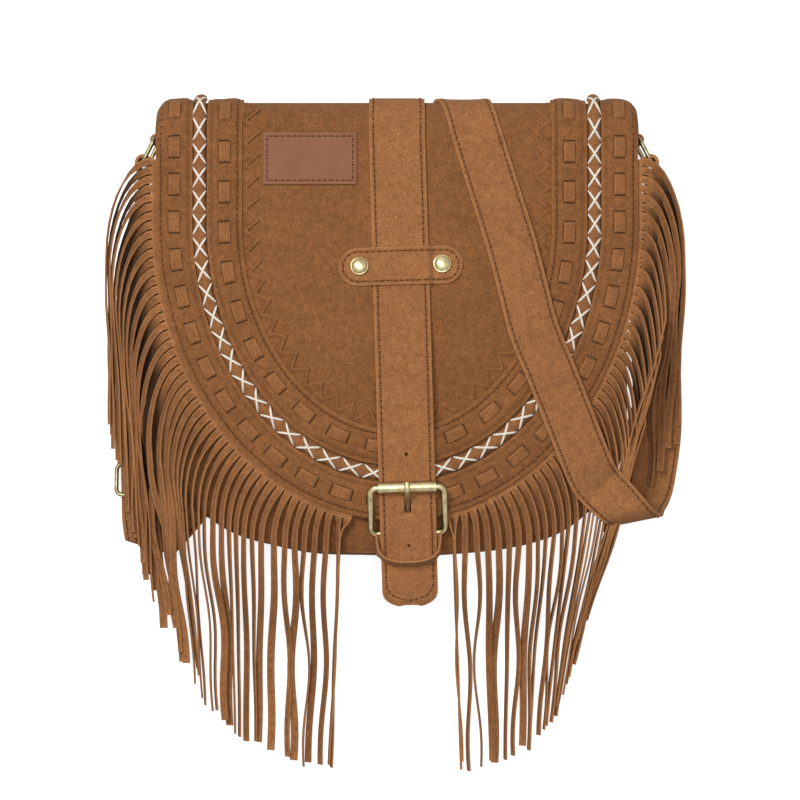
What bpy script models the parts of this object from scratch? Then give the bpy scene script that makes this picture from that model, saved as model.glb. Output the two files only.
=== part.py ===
"""A fringed suede shoulder bag, lying on its back with its flap up. Metres, +Z up, +Y towards the bag's top.

The origin is on the back panel, on the surface that the bag lies on. The flap is drawn unrolled: x runs
across it, v runs up its front and on over the fold, and h is the height above its inner face.
"""

import math

import bmesh
import bpy
import numpy as np
from mathutils import Matrix, Vector

# Flap outline, unrolled: straight sides, then half an ellipse
FLAP_HALF_WIDTH = 0.1506
FLAP_CURVE_Y = 0.0662
FLAP_CURVE_DROP = 0.1869
INSET_GROWTH = 1.07
FOLD_Y = 0.1235
FOLD_RADIUS = 0.0175
ROOT_LENGTH = 0.012
CORNER_DROP = 0.006
CORNER_WIDTH = 0.016

# Height of the flap over the front
EDGE_HEIGHT = 0.038
CROWN = 0.015
CROWN_END_Y = -0.132
CROWN_SKEW = 0.95

# Suede, leather and the gap between layers that touch
PANEL_THICK = 0.0016
SKIN_THICK = 0.0012
BAND_THICK = 0.0014
LACE_THICK = 0.0009
SHOULDER_THICK = 0.002
CLOSING_THICK = 0.0024
GAP = 0.0003
LAYER_GAP = 0.0005

# Body behind the flap
BODY_HALF_WIDTH = 0.143
BODY_CURVE_Y = -0.040
BODY_DROP = 0.101
BODY_ROUNDNESS = 3.0
BODY_TOP_Y = 0.1205
GUSSET_TOP_Y = 0.127
BACK_OVER = 0.002
FLAP_CLEAR = 0.0022
BACK_LIFT = 0.0034
GROOVE_FLAT, GROOVE_EDGE = 0.023, 0.045

# Bands round the flap, as insets of their middles from the flap's seam
OUTER_BAND_INSET, OUTER_BAND_WIDTH = 0.0116, 0.0228
INNER_BAND_INSET, INNER_BAND_WIDTH = 0.0430, 0.0220
PIPING_INSET, PIPING_WIDTH, PIPING_HEIGHT = 0.0273, 0.0076, 0.0050
PIPING_RINGS = 40
OVERLAY_INSET, OVERLAY_VALLEY, OVERLAY_TIP = 0.0500, 0.0570, 0.0650
OVERLAY_PITCH = 0.0129
OUTER_LACES, INNER_LACES = 28, 22
LACE_WIDTH = 0.0075
LACE_OVER = 0.0127
LACE_DIVE = 0.0025
SLOT_CLEAR = 0.0005
BAND_ANGLE = 1.75
CROSSES = 39
CROSS_CORD = 0.0013
CROSS_REACH = 0.0050

# Fringe
FRINGE_PITCH = 0.0057
FRINGE_CUT = 0.0006
FRINGE_THICK = 0.0010
FRINGE_START_Y = 0.1070
FRINGE_STOP_X = 0.0265
FRINGE_TUCK, FRINGE_MARGIN = 0.0065, 0.0045
SIDE_LENGTH, BOTTOM_LENGTH = 0.186, 0.160
# x of each strip by its number from the side: where it has turned down, and where it ends
LEFT_LANES = (((0, 0.1822), (8, 0.1705), (14, 0.1600), (20, 0.1450), (33, 0.1070), (52, 0.0190)),
              ((0, 0.1822), (8, 0.1705), (14, 0.1600), (20, 0.1435), (33, 0.1050), (52, 0.0190)))
RIGHT_LANES = (((0, 0.1790), (6, 0.1640), (7, 0.1600), (14, 0.1500), (20, 0.1400), (33, 0.1060),
                (52, 0.0190)),
               ((0, 0.1790), (6, 0.1620), (7, 0.1350), (28, 0.1060), (33, 0.0970), (52, 0.0190)))
LEFT_REST, RIGHT_REST = 0.0178, 0.0078
SIDE_SINK_Y = 0.030
CURL_INNER_X, CURL_INNER_Y = 0.150, -0.100
FLOOR_REST = 0.0032

# Closing strap, from its top end: u runs down it, v across it
STRAP_TOP = (-0.0006, 0.1412)
STRAP_TILT = math.radians(1.65)
STRAP_WIDTH = 0.0348
STRAP_END_ANGLE = 1.7
FLAP_END_U = STRAP_TOP[1] - FLAP_CURVE_Y + FLAP_CURVE_DROP
BAR_U = FLAP_END_U + 0.0076
ROLLER_U = BAR_U - 0.0290
KEEPER_U = BAR_U + 0.0135
TAB_END_U = BAR_U + 0.0165
STRAP_TIP_U = BAR_U + 0.0450
HOLE_WIDTH = 0.0052
HOLES_U = (BAR_U - 0.0495, BAR_U - 0.0182, BAR_U + 0.0075)
PRONG_HOLE, PRONG_HOLE_U, PRONG_HOLE_LENGTH = 1, BAR_U - 0.0191, 0.0157
STRAP_HIGH = 0.0096
BRIDGE_U, BRIDGE_LENGTH, BRIDGE_WIDTH = 0.1028, 0.0770, 0.0237
RIVET_V, RIVET_DOME, RIVET_RIM, RIVET_RISE = 0.0256, 0.0106, 0.0112, 0.0030
RIVET_SHANK, RIVET_EDGE = 0.0030, 0.0004

# Roller buckle
BUCKLE_WIDTH = 0.0495
WIRE = 0.0034
ROLLER_WIDTH, ROLLER_RADIUS = 0.0366, 0.0036
PRONG_RADIUS, PRONG_CLEAR = 0.0014, 0.0008
BUCKLE_BEND = 0.0042
TAB_WIDTH, TAB_THICK = 0.0275, 0.0014
KEEPER_WIDTH, KEEPER_SPAN = 0.0130, 0.0405

# Label patch, shoulder strap, rings and adjuster
PATCH_X, PATCH_Y, PATCH_WIDTH, PATCH_HEIGHT = -0.0544, 0.1060, 0.0588, 0.0330
SHOULDER_WIDTH = 0.0310
RING_WIRE = 0.0028
RING_SPAN, RING_REACH = 0.0350, 0.0165
RING_X, RING_Y, RING_Z = BODY_HALF_WIDTH + 0.0090, 0.1190, 0.0200
RING_LEAN = math.radians(27)
RING_SLACK = 0.0018
SIDE_TAB_WIDTH = 0.0215
SIDE_RUN_X = BODY_HALF_WIDTH + 0.0210
ADJUSTER_X, ADJUSTER_Y = -BODY_HALF_WIDTH - 0.0170, -0.0860
ADJUSTER_WIDTH, ADJUSTER_LENGTH = 0.0400, 0.0220
ADJUSTER_PRONG = 0.0011
ADJUSTER_LIFT = 0.0046
RING_BEND = 0.0035
LOOP_GAP = 0.0007

SUEDE = (0.40, 0.19, 0.075)
DARK_SUEDE = (0.27, 0.13, 0.055)
BRASS = (0.60, 0.50, 0.28)


def clamp(t):
    return min(1.0, max(0.0, t))


def smooth(t):
    t = clamp(t)
    return t * t * (3 - 2 * t)


def knots(points, t):
    """The value at t on straight runs between the points."""
    return float(np.interp(t, [p[0] for p in points], [p[1] for p in points]))


FOLD_BACK = BACK_LIFT + 2 * PANEL_THICK + GAP
FOLD_Z = FOLD_RADIUS + FOLD_BACK
FOLD_HEIGHT = FOLD_Z + FOLD_RADIUS
ROOT_V = FOLD_Y + math.pi * FOLD_RADIUS
ROOT_END_Y = FOLD_Y - ROOT_LENGTH
LAYER_2 = PANEL_THICK + LAYER_GAP
LAYER_3 = LAYER_2 + SKIN_THICK + LAYER_GAP
BAND_TOP = LAYER_3 + BAND_THICK
STRAP_LOW = PANEL_THICK + LAYER_GAP
STRAP_BED = ((0.0, STRAP_LOW), (BRIDGE_U + 0.0322, STRAP_LOW), (BAR_U - 0.0745, 0.0090),
             (BAR_U - 0.0545, STRAP_HIGH), (BAR_U - 0.0015, STRAP_HIGH), (KEEPER_U, 0.0062),
             (STRAP_TIP_U, 0.0050))
LOWEST = GAP + SHOULDER_THICK / 2
ADJUSTER_BAR_Z = SHOULDER_THICK + GAP + LOOP_GAP + RING_WIRE / 2
# Shoulder strap on the front: x, y, degrees from straight down, how far each edge is lifted over the bands
SHOULDER_FRONT = ((0.0585, 0.0930, 17, 0.0, 0.0), (0.0708, 0.0531, 17, 0.0004, 0.0024),
                  (0.0782, 0.0240, 18, 0.0026, 0.0056), (0.0850, -0.0020, 20, 0.0056, 0.0072),
                  (0.0957, -0.0279, 20, 0.0074, 0.0078), (0.1116, -0.0675, 24, 0.0078, 0.0078),
                  (0.1214, -0.0911, 30, 0.0078, 0.0084))
# Under the bag and round to its buckle: x, y, height over the lowest, the direction across it
SHOULDER_UNDER = ((0.0310, 0.1285, 0.0020 - LOWEST, (0.95, -0.30)), (0.0240, 0.0990, 0.0, (0.93, -0.36)),
                  (-0.0120, 0.0600, 0.0, (0.86, -0.50)), (-0.0520, 0.0000, 0.0, (0.81, -0.58)),
                  (-0.1000, -0.0650, 0.0, (0.81, -0.58)), (-0.1340, -0.1110, 0.0, (0.86, -0.50)),
                  (ADJUSTER_X + 0.0070, -0.1340, 0.0006, (0.93, -0.36)),
                  (ADJUSTER_X + 0.0025, -0.1385, 0.0030, (0.95, -0.30)),
                  (ADJUSTER_X + 0.0010, -0.1330, 0.0050, (0.97, -0.22)),
                  (ADJUSTER_X, -0.1180, 0.0036, (1, -0.05)), (ADJUSTER_X, -0.1050, 0.0042, (1, 0)),
                  (ADJUSTER_X, -0.0880, 0.0098, (1, 0)), (ADJUSTER_X, -0.0700, 0.0094, (1, 0)),
                  (ADJUSTER_X, -0.0480, 0.0078, (1, 0)))
# Over the flap's edge, curling down and up the side to the ring: x, y, z, the direction across it
SHOULDER_CURL = ((0.1277, -0.0997, 0.0478, (0.74, 0.67, -0.02)),
                 (0.1344, -0.1068, 0.0488, (0.84, 0.53, -0.02)),
                 (0.1432, -0.1157, 0.0476, (0.94, 0.32, 0)), (0.1508, -0.1212, 0.0365, (0.98, 0.18, 0)),
                 (0.1540, -0.1215, 0.0215, (0.99, 0.15, 0)), (0.1580, -0.1185, 0.0100, (0.99, 0.12, 0)),
                 (SIDE_RUN_X - 0.0020, -0.1070, 0.0022, (1, 0.05, 0)),
                 (SIDE_RUN_X, -0.0600, LOWEST, (1, 0, 0)),
                 (SIDE_RUN_X, 0.0000, LOWEST + 0.0011, (1, 0, 0)),
                 (SIDE_RUN_X - 0.0005, 0.0320, 0.0072, (0.96, 0, 0.25)),
                 (SIDE_RUN_X - 0.0020, 0.0600, 0.0170, (0.55, 0, 0.80)))
SHORT_RISE = ((ADJUSTER_X, ADJUSTER_Y + 0.0300, LOWEST, (1, 0, 0)),
              (ADJUSTER_X - 0.0020, 0.0000, LOWEST + 0.0008, (1, 0, 0)),
              (-SIDE_RUN_X + 0.0005, 0.0320, 0.0072, (0.96, 0, -0.25)),
              (-SIDE_RUN_X + 0.0020, 0.0600, 0.0170, (0.55, 0, -0.80)))
STRAP_FRAME = Matrix.Rotation(STRAP_TILT, 4, "Z")
STRAP_ACROSS = Vector((math.cos(STRAP_TILT), math.sin(STRAP_TILT), 0))
STRAP_DOWN = Vector((math.sin(STRAP_TILT), -math.cos(STRAP_TILT), 0))


def rise(x, y):
    """Height of the flap's inner face over the front."""
    t = clamp((FOLD_Y - y) / (FOLD_Y - CROWN_END_Y))
    across = 1 - min(1.0, (x / FLAP_HALF_WIDTH) ** 2)
    base = FOLD_HEIGHT + (EDGE_HEIGHT - FOLD_HEIGHT) * smooth(t)
    return base + CROWN * across * math.sin(math.pi * t**CROWN_SKEW) ** 2


def flap_point(x, v, h):
    """The point at x, v on the unrolled flap, h above its inner face."""
    corner = CORNER_DROP * smooth((abs(x) - FLAP_HALF_WIDTH + CORNER_WIDTH) / CORNER_WIDTH)
    drop = corner * smooth((v - FOLD_Y + 2 * CORNER_WIDTH) / (2 * CORNER_WIDTH))
    if v <= FOLD_Y:
        return Vector((x, v - drop, rise(x, v) + h))
    angle = (v - FOLD_Y) / FOLD_RADIUS
    out = FOLD_RADIUS + h
    if angle <= math.pi:
        return Vector((x, FOLD_Y + out * math.sin(angle) - drop, FOLD_Z + out * math.cos(angle)))
    return Vector((x, FOLD_Y - (v - ROOT_V) - drop, FOLD_Z - out))


def flap_bottom(x):
    """v of the flap's seam below the point x."""
    return FLAP_CURVE_Y - FLAP_CURVE_DROP * math.sqrt(max(0.0, 1 - (x / FLAP_HALF_WIDTH) ** 2))


def body_bottom(x):
    part = max(0.0, 1 - abs(x / BODY_HALF_WIDTH) ** BODY_ROUNDNESS)
    return BODY_CURVE_Y - BODY_DROP * part ** (1 / BODY_ROUNDNESS)


class Round:
    """A line round the flap at one inset from its seam, from the top left down and up to the top right."""

    def __init__(self, inset, top):
        half, drop = FLAP_HALF_WIDTH - inset, FLAP_CURVE_DROP - INSET_GROWTH * inset
        turn = np.linspace(math.pi, 2 * math.pi, 241)
        side = np.linspace(top, FLAP_CURVE_Y, 41)[:-1]
        self.x = np.concatenate([np.full(40, -half), half * np.cos(turn), np.full(40, half)])
        self.v = np.concatenate([side, FLAP_CURVE_Y + drop * np.sin(turn), side[::-1]])
        step = np.hypot(np.diff(self.x), np.diff(self.v))
        self.along = np.concatenate([[0.0], np.cumsum(step)])
        self.length = float(self.along[-1])

    def at(self, along):
        return float(np.interp(along, self.along, self.x)), float(np.interp(along, self.along, self.v))

    def out(self, along):
        """The direction in the flap that points outwards."""
        x0, v0 = self.at(along - 0.0005)
        x1, v1 = self.at(along + 0.0005)
        return Vector((v1 - v0, x0 - x1)).normalized()

    def place(self, along, across, h):
        x, v = self.at(along)
        out = self.out(along)
        return flap_point(x + across * out.x, v + across * out.y, h)


def material(name, colour, roughness, metallic=0.0):
    found = bpy.data.materials.get(name)
    if found:
        return found
    made = bpy.data.materials.new(name)
    made.use_nodes = True
    shader = made.node_tree.nodes["Principled BSDF"]
    shader.inputs["Base Color"].default_value = (*colour, 1)
    shader.inputs["Roughness"].default_value = roughness
    shader.inputs["Metallic"].default_value = metallic
    return made


def suede():
    return material("suede", SUEDE, 0.95)


def dark_suede():
    return material("dark_suede", DARK_SUEDE, 0.95)


def brass():
    return material("antique_brass", BRASS, 0.35, 1.0)


def add_object(name, data, look, collection="fringed_suede_bag"):
    made = bpy.data.objects.new(name, data)
    data.materials.append(look)
    bpy.data.collections[collection].objects.link(made)
    return made


def add_mesh(name, bm, look, collection="fringed_suede_bag"):
    mesh = bpy.data.meshes.new(name)
    bm.to_mesh(mesh)
    bm.free()
    return add_object(name, mesh, look, collection)


def solidify(made, thickness):
    """Thickness on both sides of the open surface, alike."""
    wall = made.modifiers.new("thickness", "SOLIDIFY")
    wall.thickness = thickness
    wall.offset = 0
    return made


def sheet(name, rows, columns, place, thickness, look, holes=()):
    """An open grid, each corner put at place(row, column), without the cells in holes, then made thick."""
    bm = bmesh.new()
    bmesh.ops.create_grid(bm, x_segments=rows, y_segments=columns, size=0.5)
    cell = {}
    for face in bm.faces:
        middle = face.calc_center_median()
        cell[face] = (int((middle.x + 0.5) * rows), int((middle.y + 0.5) * columns))
    bmesh.ops.delete(bm, geom=[f for f in cell if cell[f] in holes], context="FACES")
    for corner in bm.verts:
        corner.co = place(round((corner.co.x + 0.5) * rows), round((corner.co.y + 0.5) * columns))
    return solidify(add_mesh(name, bm, look), thickness)


def ribbon(name, stations, width, thickness, look):
    """A flat strap along stations, each a middle point and the direction across it."""

    def place(row, column):
        middle, across = stations[row]
        return middle + across.normalized() * width * (column - 0.5)

    return sheet(name, len(stations) - 1, 1, place, thickness, look)


def through(stations, steps):
    """Stations read from a smooth curve through the given ones."""
    flat = [np.array([*p, *a]) for p, a in stations]
    flat = [2 * flat[0] - flat[1], *flat, 2 * flat[-1] - flat[-2]]
    found = []
    for i in range(1, len(flat) - 2):
        a, b, c, d = flat[i - 1 : i + 3]
        for k in range(steps):
            t = k / steps
            bow, twist = 2 * a - 5 * b + 4 * c - d, 3 * b - a - 3 * c + d
            q = 0.5 * (2 * b + (c - a) * t + bow * t**2 + twist * t**3)
            found.append((Vector(q[:3]), Vector(q[3:])))
    found.append((Vector(flat[-2][:3]), Vector(flat[-2][3:])))
    return found


def wire(name, points, radius, look, closed=False, sides=3):
    curve = bpy.data.curves.new(name, "CURVE")
    curve.dimensions = "3D"
    curve.bevel_depth = radius
    curve.bevel_resolution = sides - 1
    curve.use_fill_caps = not closed
    line = curve.splines.new("POLY")
    line.points.add(len(points) - 1)
    for point, place in zip(line.points, points):
        point.co = (*place, 1)
    line.use_cyclic_u = closed
    return add_object(name, curve, look)


def cut(made, cutter):
    cutter.hide_render = True
    cutter.display_type = "WIRE"
    hole = made.modifiers.new(cutter.name, "BOOLEAN")
    hole.object = cutter
    hole.solver = "EXACT"


def groove_middle(y):
    """x of the middle of the strap under the bag."""
    return knots(((-0.16, -0.170), (-0.10, -0.126), (0.0, -0.052), (0.06, -0.012), (0.12, 0.017)), y)


def back_rise(x, y):
    """Height of the back panel's outer face: flat but for the strap's groove and the lifted top edge."""
    off = abs(x - groove_middle(y)) * 0.8
    groove = 1 - smooth((off - GROOVE_FLAT) / (GROOVE_EDGE - GROOVE_FLAT))
    return BACK_LIFT * max(groove, smooth((y - 0.070) / 0.035))


def body_sheet(name, top, rows, height, thickness, look):
    """A panel of the body's outline, with its middle surface at height(x, y)."""
    columns = 16

    def place(row, column):
        x = BODY_HALF_WIDTH * math.sin(math.pi * (column / columns - 0.5))
        y = top + (body_bottom(x) - top) * row / rows
        return Vector((x, y, height(x, y)))

    return sheet(name, rows, columns, place, thickness, look)


def build_body():
    half = PANEL_THICK / 2
    back_top = FOLD_Y + BACK_OVER
    body_sheet("back_panel", back_top, 12, lambda x, y: back_rise(x, y) + half, PANEL_THICK, suede())
    front = lambda x, y: rise(x, y) - FLAP_CLEAR - half
    body_sheet("front_panel", BODY_TOP_Y, 9, front, PANEL_THICK, dark_suede())
    inside = BODY_HALF_WIDTH - half
    side = [(-inside, y) for y in (GUSSET_TOP_Y, ROOT_END_Y - 0.001, 0.085, 0.030, BODY_CURVE_Y)]
    outline = list(side)
    for i in range(1, 32):
        turn = math.pi * (i / 32 - 0.5)
        outline.append((inside * math.copysign(abs(math.sin(turn)) ** (2 / BODY_ROUNDNESS), turn),
                        BODY_CURVE_Y - (BODY_DROP - half) * math.cos(turn) ** (2 / BODY_ROUNDNESS)))
    outline += [(-x, y) for x, y in side[::-1]]

    def place(row, column):
        x, y = outline[row]
        low = max(back_rise(x, y), back_rise(x * 0.97, y * 0.97)) + PANEL_THICK + LAYER_GAP + GAP
        if y > ROOT_END_Y - 0.002:
            low = FOLD_BACK + 0.0020
        return Vector((x, y, low if column == 0 else rise(x, y) - FLAP_CLEAR - PANEL_THICK - LAYER_GAP))

    sheet("gusset", len(outline) - 1, 1, place, PANEL_THICK, dark_suede())


def build_flap():
    fold_rows, front_rows, columns = 8, 9, 14
    root = ROOT_V + ROOT_LENGTH
    levels = [root, *np.linspace(ROOT_V, FOLD_Y, fold_rows)]

    def place(row, column):
        x = FLAP_HALF_WIDTH * math.sin(math.pi * (column / columns - 0.5))
        if row <= fold_rows:
            return flap_point(x, levels[row], PANEL_THICK / 2)
        part = (row - fold_rows) / front_rows
        return flap_point(x, FOLD_Y + (flap_bottom(x) - FOLD_Y) * part, PANEL_THICK / 2)

    panel = sheet("flap_panel", fold_rows + front_rows, columns, place, PANEL_THICK, dark_suede())
    for side in (-1, 1):
        cut(panel, rivet_hole(f"flap_hole_{side}", side))


def fold_steps(line, stops, longest=0.0065):
    """The stops, with more of them between where the line goes over the fold."""
    full = [stops[0]]
    for a, b in zip(stops, stops[1:]):
        over = max(line.at(a)[1], line.at(b)[1]) > FOLD_Y
        full += list(np.linspace(a, b, math.ceil((b - a) / longest) + 1 if over else 2)[1:])
    return full


def build_band(name, inset, width, laces):
    """A band with two slots for each turn of its lace, and the lace woven through them."""
    line = Round(inset, FOLD_Y + BAND_ANGLE * FOLD_RADIUS)
    pitch = line.length / (laces + 0.5)
    stops, slots = [0.0], []
    for i in range(laces):
        middle = pitch * (i + 0.75)
        for end in (-1, 1):
            edge = middle + end * (LACE_OVER / 2 + 0.0011)
            slots.append((edge - 0.0015, edge + 0.0015))
            stops += slots[-1]
    stops = fold_steps(line, [*stops, line.length])
    middles = [(a + b) / 2 for a, b in zip(stops, stops[1:])]
    holes = {(i, 1) for i, m in enumerate(middles) if any(start <= m <= end for start, end in slots)}
    inner = LACE_WIDTH / 2 + SLOT_CLEAR
    across = (-width / 2, -inner, inner, width / 2)
    sheet(name, len(stops) - 1, 3, lambda r, c: line.place(stops[r], across[c], LAYER_3 + BAND_THICK / 2),
          BAND_THICK, suede(), holes)

    over, under = BAND_TOP + GAP + 0.0001 + LACE_THICK / 2, PANEL_THICK + GAP + LACE_THICK / 2
    turns = []
    for i in range(laces):
        middle = pitch * (i + 0.75)
        for end in (-1, 1):
            top = (middle + end * LACE_OVER / 2, over)
            low = (middle + end * (LACE_OVER / 2 + LACE_DIVE), under)
            turns += [low, top] if end < 0 else [top, low]
    heights = dict(turns)
    alongs = fold_steps(line, [a for a, _ in turns], 0.0065)
    levels = {a: heights.get(a, knots(turns, a)) for a in alongs}

    def place(row, column):
        along = alongs[row]
        return line.place(along, (column - 0.5) * LACE_WIDTH, levels[along])

    sheet(name + "_lace", len(alongs) - 1, 1, place, LACE_THICK, suede())


def build_overlay():
    """The strip whose inner edge is cut in points, under the inner band."""
    line = Round(OVERLAY_INSET, FOLD_Y + 0.6 * FOLD_RADIUS)
    teeth = round(line.length / OVERLAY_PITCH * 0.93)

    def place(row, column):
        reach = (OVERLAY_TIP if row % 2 else OVERLAY_VALLEY) - OVERLAY_INSET
        return line.place(line.length * row / (2 * teeth), -reach * column, LAYER_2 + SKIN_THICK / 2)

    sheet("pinked_overlay", 2 * teeth, 1, place, SKIN_THICK, suede())


def loft(name, rings, look):
    """One closed tube through rings of points."""
    bm = bmesh.new()
    made = [[bm.verts.new(p) for p in ring] for ring in rings]
    for a, b in zip(made, made[1:]):
        for i in range(len(a)):
            j = (i + 1) % len(a)
            bm.faces.new((a[i], a[j], b[j], b[i]))
    bm.faces.new(made[0][::-1])
    bm.faces.new(made[-1])
    bmesh.ops.recalc_face_normals(bm, faces=bm.faces)
    return add_mesh(name, bm, look)


def build_piping():
    line = Round(PIPING_INSET, FOLD_Y + BAND_ANGLE * FOLD_RADIUS)
    middle = PANEL_THICK + GAP + PIPING_HEIGHT / 2
    rings = []
    for along in fold_steps(line, list(np.linspace(0, line.length, PIPING_RINGS))):
        ring = []
        for i in range(7):
            turn = 2 * math.pi * i / 7
            across, up = PIPING_WIDTH / 2 * math.cos(turn), PIPING_HEIGHT / 2 * math.sin(turn)
            ring.append(line.place(along, across, middle + up))
        rings.append(ring)
    loft("piping", rings, suede())


def build_cross_lace():
    """White cord crossed over the piping: each cross is a middle and four arms, which meet the next one's."""
    line = Round(PIPING_INSET, FOLD_Y + 0.5 * FOLD_RADIUS)
    pitch = line.length / CROSSES
    half = CROSS_CORD / 2
    crest = PANEL_THICK + PIPING_HEIGHT + 0.0014
    foot = BAND_TOP + 0.0010
    bm = bmesh.new()

    def corner(along, across, h):
        return bm.verts.new(line.place(along, across, h))

    def foot_pair(along, side):
        return (corner(along, side * (CROSS_REACH - 1.2 * half), foot + 0.0003),
                corner(along, side * (CROSS_REACH + 1.2 * half), foot))

    feet = {side: foot_pair(0.0, side) for side in (-1, 1)}
    for i in range(CROSSES):
        middle = pitch * (i + 0.5)
        left, right = corner(middle - 2 * half, 0, crest), corner(middle + 2 * half, 0, crest)
        tops = {side: corner(middle, side * 1.4 * half, crest) for side in (-1, 1)}
        bm.faces.new((left, tops[-1], right, tops[1]))
        for side in (-1, 1):
            inner, outer = feet[side]
            bm.faces.new((left, tops[side], outer, inner))
            feet[side] = foot_pair(pitch * (i + 1), side)
            inner, outer = feet[side]
            bm.faces.new((tops[side], right, inner, outer))
    bmesh.ops.recalc_face_normals(bm, faces=bm.faces)
    solidify(add_mesh("cross_lace", bm, material("white_cord", (0.85, 0.82, 0.74), 0.8)), 0.0008)


def strip_route(line, along, number, side, lanes, rest):
    """Stations down one strip of fringe: it leaves square to the seam, turns down, and sinks to its rest."""
    x, v = line.at(along)
    out = line.out(along)
    start = Vector((x, v)) + out * FRINGE_MARGIN
    lane, foot = knots(lanes[0], number), knots(lanes[1], number)
    spacing = abs(knots(lanes[1], number + 0.5) - knots(lanes[1], number - 0.5))
    twist = math.acos(clamp((spacing - FRINGE_THICK - 0.0004) / (FRINGE_PITCH - FRINGE_CUT)))
    sideways = abs(out.x)
    reach = abs(lane - abs(start.x))
    down = 0.006 + 0.042 * sideways + 0.4 * reach
    turned = Vector((side * lane, start.y - down))
    handles = (start, start + out * (0.002 + 0.5 * reach), turned + Vector((0, 0.55 * down)), turned)
    length = BOTTOM_LENGTH + (SIDE_LENGTH - BOTTOM_LENGTH) * smooth(sideways)
    end = Vector((side * foot, turned.y - (length - down - 0.6 * reach)))
    if foot > CURL_INNER_X and side > 0:
        end.y = max(end.y, CURL_INNER_Y)
    route = []
    for t in (0.5, 1.0):
        a, b, c, d = handles
        route.append(a * (1 - t) ** 3 + b * 3 * t * (1 - t) ** 2 + c * 3 * t**2 * (1 - t) + d * t**3)
    over_edge = body_bottom(foot) - 0.007 if foot < BODY_HALF_WIDTH + 0.003 else SIDE_SINK_Y
    clear_y = min(over_edge, start.y)
    if turned.y - clear_y > 0.012:
        route.append(turned.lerp(end, (turned.y - clear_y) / (turned.y - end.y)))
    last_turn = route[-1]
    route += [last_turn.lerp(end, 0.45), end]
    low = FLOOR_REST + (rest - FLOOR_REST) * smooth((foot - 0.085) / 0.035)
    sink_length = 0.070 - 0.025 * smooth((foot - 0.085) / 0.035)
    last, stations = start, []
    for i, point in enumerate(route):
        heading = (point - last).normalized()
        flat = Vector((-heading.y, heading.x, 0))
        sink = smooth((clear_y - point.y) / sink_length)
        turn = twist * smooth((i + 1) / 2)
        across = flat * math.cos(turn) + Vector((0, 0, 1)) * math.sin(turn)
        level = rise(point.x, point.y) + LAYER_2 + SKIN_THICK / 2
        stations.append((Vector((point.x, point.y, level + (low - level) * sink)), across))
        last = point
    return stations


def build_fringe(name, side, lanes, rest):
    """A strip of suede sewn under the outer band and cut into a fringe."""
    line = Round(0.0, FRINGE_START_Y)
    stop = 0.5 * line.length - FRINGE_STOP_X
    count = int(stop / FRINGE_PITCH)
    strip = FRINGE_PITCH - FRINGE_CUT
    bm = bmesh.new()

    def margin(along, across):
        return bm.verts.new(line.place(along, across, LAYER_2 + SKIN_THICK / 2))

    last = None
    for number in range(count):
        near = FRINGE_PITCH * number
        pair = []
        for gone in (near, near + strip):
            along = gone if side < 0 else line.length - gone
            pair.append((margin(along, -FRINGE_TUCK), margin(along, FRINGE_MARGIN)))
        if last:
            bm.faces.new((last[0], last[1], pair[0][1], pair[0][0]))
        bm.faces.new((pair[0][0], pair[0][1], pair[1][1], pair[1][0]))
        last = pair[1]
        middle = near + strip / 2
        along = middle if side < 0 else line.length - middle
        ends = (pair[0][1], pair[1][1])
        order = (-1, 1) if side < 0 else (1, -1)
        for place, across in strip_route(line, along, number, side, lanes, rest):
            new = [bm.verts.new(place - across.normalized() * strip / 2 * o) for o in order]
            bm.faces.new((ends[0], new[0], new[1], ends[1]))
            ends = new
    bmesh.ops.recalc_face_normals(bm, faces=bm.faces)
    solidify(add_mesh(name, bm, suede()), FRINGE_THICK)


def strap_xy(v, u):
    """The place on the closing strap's line: u down from its top, v across it."""
    cos, sin = math.cos(STRAP_TILT), math.sin(STRAP_TILT)
    return STRAP_TOP[0] + v * cos + u * sin, STRAP_TOP[1] - u * cos + v * sin


def strap_z(u):
    """Height of the closing strap's underside."""
    x, y = strap_xy(0, u)
    return rise(x, y) + knots(STRAP_BED, u)


def strap_point(v, u, above=0.0):
    x, y = strap_xy(v, u)
    return Vector((x, y, strap_z(u) + above))


def box_cutter(name, centre, size):
    bpy.ops.mesh.primitive_cube_add(size=1, location=(0, 0, 0))
    made = bpy.context.object
    made.name = name
    made.data.transform(Matrix.Diagonal((*size, 1)))
    made.matrix_world = Matrix.Translation(centre) @ STRAP_FRAME
    move_to(made, "cutters")
    return made


def move_to(made, collection):
    for old in list(made.users_collection):
        old.objects.unlink(made)
    bpy.data.collections[collection].objects.link(made)


def build_closing_strap():
    top_v = FOLD_Y + STRAP_END_ANGLE * FOLD_RADIUS
    first = STRAP_TOP[1] - FOLD_Y
    stations = []
    for v in np.linspace(top_v, FOLD_Y, 7)[:-1]:
        x, _ = strap_xy(0, first)
        stations.append((flap_point(x, v, STRAP_LOW + CLOSING_THICK / 2), Vector((1, 0, 0)), 1.0))
    straight_end = STRAP_TIP_U - 0.009
    before = (0.1195, 0.1045, 0.0895, 0.0695, 0.0545, 0.0240, 0.0015, -0.0135)
    bends = [BAR_U - way for way in before]
    for u in [*np.linspace(first, BRIDGE_U + 0.0322, 8), *bends, straight_end]:
        stations.append((strap_point(0, u, CLOSING_THICK / 2), STRAP_ACROSS, 1.0))
    for u, share in ((STRAP_TIP_U - 0.0035, 0.86), (STRAP_TIP_U, 0.55)):
        stations.append((strap_point(0, u, CLOSING_THICK / 2), STRAP_ACROSS, share))

    def place(row, column):
        middle, over, share = stations[row]
        return middle + over * STRAP_WIDTH * share * (column / 2 - 0.5)

    strap = sheet("closing_strap", len(stations) - 1, 2, place, CLOSING_THICK, suede())
    for i, u in enumerate(HOLES_U):
        place_u, length = (PRONG_HOLE_U, PRONG_HOLE_LENGTH) if i == PRONG_HOLE else (u, HOLE_WIDTH)
        cut(strap, box_cutter(f"strap_hole_{i}", strap_point(0, place_u), (HOLE_WIDTH, length, 0.02)))


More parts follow.
